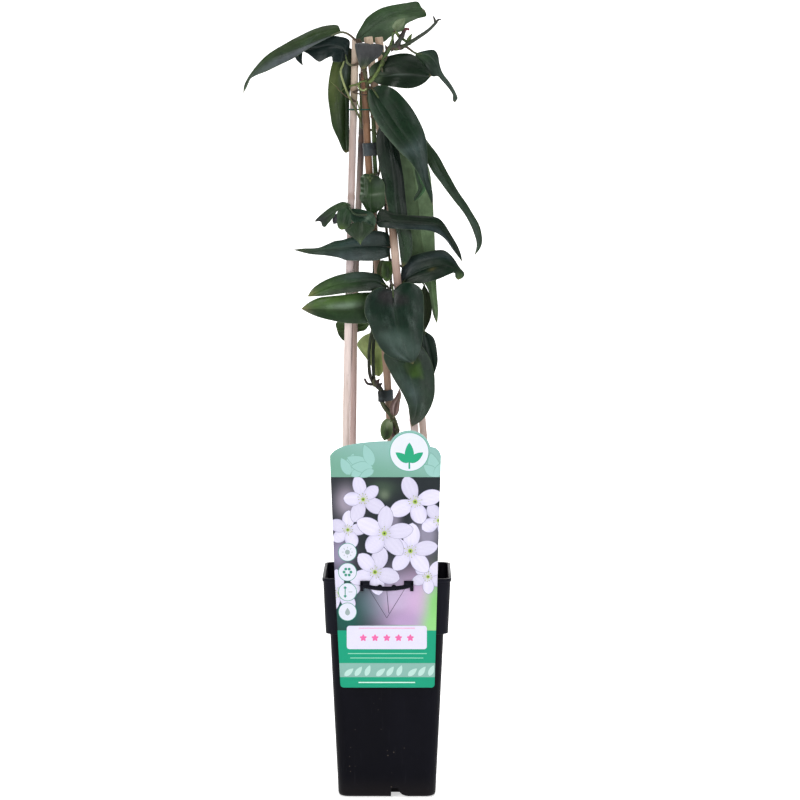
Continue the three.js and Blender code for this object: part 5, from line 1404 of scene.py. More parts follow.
LEAVES = {
    "leaf_top_left": dict(blades=[
        ([(-39, -8, 652), (-61, -14, 644), (-80.5, -19, 636.5), (-99.5, -22, 628.5), (-113, -23, 617.5),
            (-121.6, -23, 600.4)], [(-42, -5, 658), (-52, -6, 657.7), (-68.6, -11, 651.8),
            (-85.5, -15, 642.7), (-102.4, -20, 631.8), (-113.7, -22, 619.3), (-120.5, -23, 608)], [
            (-52.9, -14, 645.5), (-66.4, -19, 638), (-79.7, -24, 629.5), (-101.1, -27, 619.3),
            (-115.3, -26, 612.5), (-120.2, -25, 604.7)])],
        stalks=[[(-39, -8, 652), (-34, -9, 651), (-29, -11, 647.5), (-23.8, -11, 642.5)]]),
    "leaf_top_arched": dict(blades=[
        ([(-34.4, -9, 628.5), (-37.6, -10, 637.9), (-47.8, -9.5, 640.9), (-59, -9, 638.8),
            (-69.2, -9, 637.9), (-76.9, -9.5, 637.1)], [(-31.6, -8, 640.5), (-31.6, -8, 644.5),
            (-33.3, -7.5, 646.5), (-41.9, -7, 648.6), (-50.4, -7, 649), (-60.7, -7, 645.6),
            (-71, -7.5, 641.3)], [(-39.3, -13, 626.8), (-46.1, -13, 627.4), (-46.9, -13.5, 631.3),
            (-51.4, -14, 629.6), (-57.2, -13, 626.8), (-59.7, -12.5, 627.9), (-66.8, -12, 633.6),
            (-71.7, -11, 635.8)]),
        ([(-69.2, -9.2, 639.2), (-74.7, -11, 637), (-75.1, -12, 631.1), (-71.3, -12.5, 623.4)],
            [(-73.5, -9.5, 640.9), (-78.7, -11.5, 636.2), (-77.5, -12.5, 629.4)],
            [(-71.3, -10.5, 636.6), (-71.7, -12, 634), (-72, -12.5, 628.5)])], stalks=[[
        (-34.5, -9.2, 628.6), (-33.6, -11, 626), (-30, -12, 624), (-25, -12.5, 625),
        (-20.4, -11.2, 625.5)]]),
    "leaf_left_hanging": dict(blades=[
        ([(-33.4, -2, 640), (-36, -3, 626), (-36.5, -2.5, 607), (-35.5, -1.5, 586), (-35.5, -2, 567),
            (-35, -3.5, 549.5)], [(-40.5, -4, 638), (-46, -6, 627.5), (-49.2, -7, 615), (-50, -7, 595),
            (-46.6, -7, 573), (-42.3, -6, 562.5), (-37, -4.5, 550.8)], [(-29.5, 0, 637), (-29, 0, 624),
            (-32, -0.5, 597), (-32.2, -0.5, 573), (-31.5, -1.8, 558), (-32.6, -3, 550.8)])],
        stalks=[[(-36.2, -4.5, 630.5), (-37.5, -6, 624.5), (-39.4, -9, 619.5), (-36.5, -13, 608),
            (-31.8, -14.5, 597), (-27, -15.5, 587), (-23.5, -12, 580), (-22.2, -5.5, 575.5),
            (-22.1, 1, 572), (-17.8, 5.1, 570), (-13.5, 3.5, 569), (-11.2, -2, 568.5)]]),
    "leaf_top_right": dict(blades=[
        ([(-26, 2.5, 641.3), (-22, 6.5, 648), (-10, 10, 657.5), (3, 10, 665.8), (18, 8, 669.5),
            (32.5, 5, 670.8)], [(-26.6, 4, 648.3), (-25, 5, 652.1), (-21.3, 7, 658.6), (-17.5, 9, 664.6),
            (-4.7, 10, 673), (16.5, 9, 677.3), (26.4, 7, 678.2), (29.5, 6, 673.4)], [(-20, 6.5, 643.8),
            (-13, 9.5, 643.5), (-6, 10, 643), (-1.8, 10, 644.5), (1.3, 10, 647.3), (8.3, 8, 651.8),
            (14.6, 6, 653.9), (15.6, 5, 658.5), (25.9, 3, 663.6), (33.5, 3, 666)])],
        stalks=[[(-26, 2.4, 642), (-24.3, -1.2, 643), (-22, -5.5, 644), (-23.8, -11, 643.5)]]),
    "leaf_top_small": dict(blades=[
        ([(7, -8.5, 654), (10, -7.5, 658.5), (15.4, -8, 664)], [(4.5, -7, 656), (8, -6.5, 662)],
            [(10.5, -9.5, 654), (14.5, -9.5, 658.5)])], stalks=[[(7, -8.5, 654), (6.4, -11, 651.6)]]),
    "leaf_top_front": dict(blades=[
        ([(-19, -14, 630), (-15, -15, 637.5), (-14, -20, 641.8), (-16, -25, 633), (-19.7, -27, 621)],
            [(-24, -15, 637), (-27, -18, 642), (-26, -23, 634), (-23.8, -26, 625.5), (-22.6, -27, 621.8)],
            [(-8, -14, 636), (-3, -17, 641.2), (-2.8, -20.5, 638), (-5.4, -24, 632),
                (-12.5, -26.5, 626.5), (-16.8, -27, 622.3)])],
        stalks=[[(-19, -14, 630.5), (-21, -11.5, 629)]]),
    "leaf_right_upper": dict(blades=[
        ([(-15, -9.8, 615), (-9, -10.3, 615.5), (0, -13.5, 616), (11, -18, 617.5), (24.9, -19, 616.7),
            (37.7, -18, 615)], [(-14.6, -9.4, 621.5), (-10.5, -9.6, 625.8), (-1.2, -9.8, 631),
            (6, -9.5, 632.9), (13, -10, 634), (22, -11.5, 633), (28.8, -13.5, 627.5), (33.7, -15.5, 621)],
            [(-13.5, -9.6, 612), (-7.5, -11, 608.3), (2.6, -20, 605.9), (12.9, -23, 604.7),
                (22.3, -23, 605.1), (31, -22, 608.4)])],
        stalks=[[(-14.9, -9.8, 613), (-14.6, -10, 610.4)]]),
    "leaf_right_hooked": dict(blades=[
        ([(24.4, -9, 634.2), (35.1, -8, 632), (41.5, -9, 625.5), (44.8, -9.5, 617.5), (50, -11.5, 610),
            (55.5, -13.5, 602), (58, -14.5, 597), (57.6, -15, 592.3)], [(31, -7, 636.3),
            (39.6, -6, 637.2), (42, -6, 635.5), (43.9, -6.5, 631.2), (44.6, -7, 626.1), (47, -8, 618.4),
            (53.8, -10, 609.1), (58.5, -13, 600.6), (60.1, -14, 596)], [(24.2, -8, 630), (28.6, -8, 624),
            (33.6, -10, 618.4), (38.4, -12, 614.4), (43.6, -12.5, 614.6), (46.1, -12.5, 612),
            (51.6, -13.5, 605.6), (56, -15, 598.8), (56, -15, 594.5)])],
        stalks=[[(24.6, -9, 634.2), (21.5, -10, 636), (17.5, -12, 639), (14.6, -14, 640.5)]]),
    "leaf_right_large": dict(blades=[
        ([(-12.5, -14, 604.5), (-1.7, -20, 588.5), (10.3, -23, 570.5), (22.3, -24, 554.3),
            (29.5, -23, 538), (34, -22, 520), (39.3, -21, 504.5)], [(-15.5, -15, 603),
            (-13.4, -17.5, 585.1), (-7, -20, 572.4), (7.9, -23.5, 554.2), (20.7, -24.5, 541.1),
            (29.2, -24, 526.7), (34.2, -23, 516.5)], [(-6.4, -16, 607.1), (3.4, -22, 605.3),
            (10, -21.5, 600.8), (21.7, -20, 587), (30.2, -19.5, 571.1), (33.5, -20, 560.5),
            (34.5, -20, 542.7), (35.6, -20, 530.8), (38.7, -20.5, 516)]),
        ([(23.6, -24.3, 538.1), (26.6, -23.4, 528.3), (29.3, -22.8, 520.7), (26.8, -22, 514.7),
            (22.3, -21.5, 508.4)],
            [(24, -24, 533.4), (25.5, -23, 525.8), (26.6, -22, 519.4), (23.5, -21.3, 513)], [
            (26, -24.6, 534.3), (28.9, -24, 527.1), (32.8, -23.4, 519.4), (29.8, -22.8, 514.3),
            (25.5, -22.3, 510.1)])],
        stalks=[[(-12.5, -13.8, 604.5), (-14, -11, 605.2), (-16.2, -8, 605.5)]]),
    "leaf_right_trailing": dict(blades=[
        ([(28.3, -8, 567.1), (40.3, -10, 546.6), (52.3, -11, 525.2), (66.8, -12, 503.9),
            (76.3, -13, 485.9), (78.8, -13, 473), (74.6, -13, 462)], [(29, -11, 553.4), (36, -13, 538.9),
            (48, -14, 521), (63.4, -14, 501.3), (72.8, -14, 485), (76.5, -14, 472.3)], [
            (34.3, -6, 560.3), (46.3, -8, 543.2), (58.3, -9, 521), (70.3, -10, 503), (79.7, -11, 485),
            (80.8, -12, 471.4)])],
        stalks=[[(28.3, -8, 567), (16, -7, 574), (4, -3, 572), (-4, -1, 568), (-11.1, -1.9, 565)]]),
    "leaf_back_dark": dict(blades=[
        ([(-3.4, -14.5, 580), (1.7, -15.5, 560.3), (5.1, -16, 538.9), (8.6, -16, 513.3),
            (12, -15.5, 485), (15, -13.5, 468), (13.3, -12, 452.5)], [(-8.5, -14.4, 566),
            (-8.4, -15.2, 550), (-5.2, -15.6, 533), (-2.9, -15.9, 522), (2, -17.8, 498.7),
            (8.8, -17.2, 481), (10.4, -15, 472), (11.5, -13, 460)], [(6, -12.5, 573),
            (10.3, -12.5, 551.7), (14.5, -13, 526), (17.5, -13, 497), (21.5, -12, 476),
            (21.5, -11.5, 464), (17.5, -11.5, 456.5)])], stalks=[
        [(-3.6, -14.4, 580), (-8.5, -13.3, 581), (-13, -9.5, 581), (-12.8, -5, 580), (-11.9, -2.2, 580)]]),
    "leaf_back_pale": dict(blades=[
        ([(11, 0, 564.5), (21.4, 4, 538.9), (26.6, 6, 509), (30, 6, 474.8), (37, 4, 442), (40, 2, 420),
            (42.9, 0, 403)], [(9, 1, 556), (10.5, 5, 530), (14, 8, 500), (18, 8, 466.3), (29, 6, 443),
            (36, 4, 430), (39.5, 2, 411)], [(24.9, 2, 557.7), (35.1, 4, 538.9), (38.6, 5, 517.5),
            (40.3, 5, 487.6), (41.7, 4, 457.7), (42.6, 2, 432.1), (43.9, 1, 413.3)])], stalks=[[
        (11, 0, 564.5), (4, 1.5, 563.5), (-2.5, 1.3, 563), (-6.1, -0.8, 558.5), (-6.1, -1.6, 551),
        (-6.2, -1, 543), (-6.6, 1, 534), (-9.4, 2.6, 525)]]),
    "leaf_right_mid": dict(blades=[
        ([(11.1, -8, 437.4), (21.4, -9, 445.7), (35.1, -11, 451.7), (48.8, -13, 454.3), (57.5, -14, 452),
            (62.5, -14.5, 448), (60.6, -15.5, 441.6)], [(13.3, -4, 454.2), (17, -3.5, 459.5),
            (26.1, -4, 463.2), (34.7, -5, 465.4), (41.1, -6, 466.7), (48.6, -7, 466.8),
            (53.8, -8.5, 463.4), (58.1, -10, 458.2), (61.9, -11.5, 452.3), (66.2, -12.5, 446.9),
            (64.8, -14, 443.5)], [(20.7, -12, 438.6), (31.4, -15, 438.8), (42, -17, 442),
            (51.6, -17, 445.8), (57.6, -16, 447.6), (58.3, -15.8, 444)])],
        stalks=[[(11.4, -8, 437.4), (7, -7, 437), (2.9, -8.4, 436.5)]]),
    "leaf_front_heart": dict(blades=[
        ([(5.1, -24, 433), (6, -27, 418.5), (9.9, -29, 399.7), (15.4, -29.5, 383.5), (22.3, -29, 370.7)],
            [(-6, -26, 436), (-17, -27, 428.5), (-19.3, -28, 415), (-15, -28, 404), (-9.9, -28, 391.2),
                (0, -28.5, 378.4)], [(13.2, -23, 439.3), (20.7, -23, 439.7), (27.1, -22, 436.5),
            (30.4, -21.5, 432.2), (31.5, -21, 424.8), (31.5, -22, 409.6), (30.8, -24, 395.3),
            (28, -26.5, 381.1)])],
        stalks=[[(5.1, -24, 432), (4.5, -20, 437), (3.8, -13, 439), (3.2, -8.3, 440)]]),
    "leaf_lower_front": dict(blades=[
        ([(11, -24.5, 386), (17.1, -25, 368), (23.1, -27, 351), (25.7, -28.5, 333.8), (21, -29, 317)],
            [(-2.6, -23.5, 379), (3.4, -24, 362), (12, -26.5, 347.5), (18, -28, 334.7), (19.4, -29, 326)],
            [(26.6, -20, 387.7), (36.9, -19, 374), (40.2, -20, 364), (40.9, -20.5, 352),
                (40.3, -21.5, 342), (36.6, -24, 331.5), (29.6, -27, 322.3)])],
        stalks=[[(11, -24.5, 385), (6, -22, 392), (0, -16, 400), (-5, -11, 408), (-9, -7.5, 411.5)]]),
    "leaf_lower_back": dict(blades=[
        ([(31.7, -6, 398), (36.9, -8, 380.8), (40.3, -10, 360.3)], [(27.5, -8, 389), (30.5, -11, 372)],
            [(40, -6, 391.5), (43.2, -8, 377.6), (43.2, -9, 370)])],
        stalks=[[(31.9, -6, 397), (22, -6, 415), (10, -5, 428), (1, -8.2, 428.5)]]),
    "leaf_left_mid_upper": dict(blades=[
        ([(0.5, -15.5, 436.3), (-10, -20, 441), (-25, -24, 441.5), (-44, -24, 438), (-58, -23, 432.5),
            (-67.8, -22, 427.8)], [(-3.8, -15.5, 442.5), (-6, -16, 445.7), (-13.4, -18, 448),
            (-21.9, -20, 449.1), (-34.6, -21, 447.7), (-45.3, -21, 444.9), (-55.9, -21, 440.1),
            (-63.4, -21.5, 434.3)], [(-1.7, -18, 433.5), (-9.1, -21, 432.8), (-22.9, -25, 432.2),
            (-34.6, -26.5, 431.2), (-47.3, -26, 429.3), (-61.2, -24, 428.1)])],
        stalks=[[(0.2, -15.3, 436.2), (1.3, -12, 434), (1.9, -8.8, 431.5)]]),
    "leaf_left_mid_lower": dict(blades=[
        ([(-3, -17, 424.5), (-12.9, -19.5, 420.5), (-31.7, -22, 417.5), (-53, -22, 417),
            (-73.2, -20, 417.3)], [(-8.5, -16, 431.7), (-14.5, -17, 431.3), (-23, -18.5, 431),
            (-34.6, -21.8, 429.6), (-47.4, -21.2, 428.2), (-58.1, -20, 426.8), (-66.6, -19.5, 422.6)],
            [(-12.3, -22, 406.8), (-23, -23.5, 405), (-34.6, -24.5, 405.4), (-44.2, -25, 407),
                (-59.1, -24.5, 410.7), (-66.5, -22, 413.7)])],
        stalks=[[(-3.3, -17, 424.5), (-3, -12, 423.5), (-3.4, -8.4, 423)]]),
    "leaf_left_spear": dict(blades=[
        ([(3, -8.5, 469.5), (-10, -12, 470.5), (-25, -19, 470.5), (-40, -22, 469), (-60, -21, 467.3),
            (-80.2, -19, 467.6)], [(1.5, -7.5, 480), (-8.9, -11, 483.5), (-23.1, -18, 480.5),
            (-31.5, -20.5, 478), (-38.9, -21, 475.9), (-44.2, -21.5, 475.2), (-50.6, -21.5, 472.5),
            (-58, -20.5, 469.5), (-71.5, -19.5, 468.7)], [(1.3, -10, 461.6), (-3.8, -12, 459.6),
            (-10.2, -15, 458.1), (-23, -20, 458.2), (-35.7, -23.5, 459), (-40, -24, 460.7),
            (-50.6, -23.5, 462.6), (-66.5, -21, 464.2)])],
        stalks=[[(2.8, -8.5, 469.5), (1.1, -4.8, 468.5)]]),
    "leaf_centre_crumpled": dict(blades=[
        ([(-14.5, -9, 531.4), (-14.1, -12.5, 523), (-13.7, -13.5, 512.8), (-13.7, -12.5, 504.3),
            (-13.2, -11.5, 497.2)], [(-19.3, -8, 532), (-22.6, -8.5, 529.1), (-23.1, -9.5, 522.9),
            (-22.6, -10.5, 517), (-23.1, -11, 511), (-20.2, -11, 505.6), (-17.9, -11, 501.2)], [
            (-8.8, -13.5, 530.2), (-4, -18, 527.4), (-1.7, -18.4, 521.8), (-2.2, -18, 516.3),
            (-1.7, -16.8, 510.4), (-2.3, -15, 504.7), (-7.9, -12.5, 500)])],
        stalks=[[(-14.3, -9, 531), (-10.5, -6.5, 531.5), (-8.5, -2.5, 531), (-9.6, 1.5, 529.5)]]),
    "leaf_left_cluster": dict(blades=[
        ([(-30.6, -20, 505.4), (-37.5, -20.5, 504.5), (-45.1, -22, 499.5), (-51.9, -23, 494.8),
            (-61.7, -23.5, 491.6)], [(-33.2, -19, 507.4), (-37.6, -19.5, 508.5), (-41.9, -20, 507.2),
            (-48.5, -21.5, 503.5), (-55.1, -22.5, 498.4), (-59.8, -23.5, 494.2)], [(-37.4, -21, 502.6),
            (-42.5, -22, 500.3), (-44.2, -23, 497), (-47.5, -24.5, 492.8), (-50.3, -25, 489.5),
            (-52.7, -25.5, 486.9), (-55.1, -25, 488.2), (-56.3, -24, 491.7)]),
        ([(-39.1, -21.8, 498.6), (-44.4, -22.5, 494), (-45.5, -22, 489.5)],
            [(-43.4, -22, 498.1), (-46.3, -22, 493.1)], [(-40.4, -23, 493.6), (-42.7, -22.5, 490.2)]),
        ([(-31.5, -20.3, 504.5), (-35.3, -23, 497.8), (-37.4, -24, 491.1), (-38.5, -23.5, 484.6)],
            [(-35.7, -21, 504.1), (-41.3, -22.5, 501.6), (-42.7, -23, 496.1), (-42.3, -23, 489.3),
                (-41.2, -23, 486.1)],
            [(-29.4, -21.5, 499.5), (-29.9, -22.5, 492.3), (-31.9, -23.5, 487.7), (-35.7, -23.5, 485.3)]),
        ([(-33.2, -22.2, 499.5), (-26.4, -21, 496.9), (-19.6, -21, 495.2), (-13.6, -20.5, 490.9),
            (-11.1, -20, 485.4)], [(-29.8, -20.5, 502.4), (-24.7, -20, 502.4), (-17.9, -20, 501.1),
            (-11.9, -20, 498.6), (-9.2, -20, 492.6)],
            [(-29.8, -22.5, 492.7), (-24.7, -22, 488.4), (-17.9, -21.5, 487.6), (-13.6, -20.5, 485.8)]),
        ([(-22.1, -21.2, 493.1), (-22.3, -24, 483.4), (-22.5, -23.5, 472)], [(-28.9, -22.5, 490.6),
            (-34.9, -23.5, 486.8), (-36, -24, 484.5), (-31.5, -24.5, 480.1), (-26.4, -24, 476)],
            [(-16.2, -22, 490.1), (-10.2, -22.5, 487.2), (-13.2, -23.5, 483), (-19.4, -24, 477.1)])],
        stalks=[[(-32.9, -21.8, 505.6), (-30, -23, 500.7), (-26.7, -23.3, 497.9), (-22, -22.6, 497.5),
            (-16.2, -19.5, 497.2), (-12, -16.5, 495), (-7, -10, 494), (-1.5, -4, 493.5)]]),
    "leaf_right_narrow": dict(blades=[
        ([(-9, -16.5, 491.5), (0, -20, 492.5), (7.7, -22, 491.9), (28.3, -23, 490.6), (43.7, -23, 488.5),
            (53.1, -22, 476.5), (64.3, -20, 457.1)], [(-8.2, -16.8, 497.5), (-5, -17.6, 502.4),
            (-0.8, -18.9, 501.4), (5, -19.8, 498.6), (15.4, -20.5, 497.1), (32.6, -21, 496.5),
            (44.5, -20.5, 494), (56, -20.5, 478.2), (62.6, -19.5, 464.6)], [(-7, -18, 487),
            (-1.5, -21.5, 486.3), (15.4, -25, 485), (36.9, -26, 483.8), (48.8, -25, 477.5),
            (57.4, -22.5, 466)])],
        stalks=[[(-8.8, -16.3, 491.2), (-7.5, -13, 489), (-4.5, -8.5, 487.5), (-0.8, -4.1, 487.5)]]),
    "leaf_centre_curled": dict(blades=[
        ([(4.3, -9.5, 457), (1.8, -12.5, 451), (1, -13.5, 444), (-0.6, -13, 439.8)],
            [(-2.6, -11, 457.6), (-4.7, -12.5, 451.5), (-3.8, -13.5, 443.1)],
            [(6, -9.6, 455.2), (5.8, -10.8, 450.6), (4.3, -12, 445.5), (2.4, -12.5, 441.3)]),
        ([(3.2, -9.8, 455.6), (-3.5, -9, 455), (-6, -8, 449), (-5, -8, 441.5)],
            [(-5, -8.5, 458.2), (-8.3, -7.5, 452), (-8.5, -7, 446)], [(-1.5, -9.8, 451), (-1, -9.5, 445)])],
        stalks=[[(4, -9.2, 456), (2.6, -6.1, 455)]]),
    "leaf_back_left": dict(blades=[
        ([(-15, 14, 402), (-28, 27, 397.5), (-43.6, 28, 395.5)],
            [(-21, 21.5, 405), (-36, 28, 405), (-44.6, 28, 402)], [(-19, 18, 396.5), (-25, 24, 394.5),
            (-32, 28, 390), (-37.4, 29, 386.5), (-42.2, 28.5, 391.5)])],
        stalks=[[(-15.3, 14.3, 402), (-12.5, 8, 404), (-11.2, 5, 405)]]),
    "leaf_centre_pale": dict(blades=[
        ([(-12, 7.5, 396), (-13, 7.5, 385), (-9.4, 7, 370.6), (-7, 5.5, 357.2)], [(-21.6, 6, 391.5),
            (-25.9, 5, 385), (-23.6, 5, 380.4), (-17.3, 5, 372), (-13.4, 5, 366), (-11, 5, 359)],
            [(-4.3, 9, 391), (-2.6, 9, 381), (-2.6, 8, 369), (-4, 6.5, 360.5)])],
        stalks=[[(-12, 7.6, 395.5), (-11.5, 8.2, 399), (-11.2, 5, 402)]]),
    "leaf_back_right": dict(blades=[
        ([(31.7, 12, 437), (32.6, 13, 419), (31.7, 12, 394.5)], [(27, 12, 423), (27.4, 12, 406)],
            [(37.7, 11, 425), (37.7, 11, 408)])],
        stalks=[[(31.7, 12, 436.5), (22, 12, 443), (15, 9.5, 450), (8, 3, 455), (2.3, -5.5, 458.5)]]),
    "leaf_low_small": dict(blades=[
        ([(4, -10.8, 321), (-0.5, -12.5, 315.5), (-2.5, -12.5, 303.7)],
            [(-1, -11.5, 322.3), (-4.9, -12, 318), (-5.8, -12.5, 312), (-4.7, -12.5, 307)],
            [(5, -11.8, 317), (4.6, -13, 311), (1.5, -13.5, 305.5)])],
        stalks=[[(4, -10.8, 320.6), (6.2, -6.4, 319)]]),
    "bud_scale": dict(blades=[
        ([(6, -10, 323.5), (6.9, -11, 333), (10.2, -10.5, 341), (10.8, -10, 348.5)],
            [(2.6, -11.2, 328), (2.8, -11.4, 335), (7.6, -11.5, 342)],
            [(9.6, -9.5, 327), (11, -9.5, 336), (12.2, -9.5, 343)])],
        stalks=[[(6, -10, 324), (4.8, -6.3, 322.5)]])
}
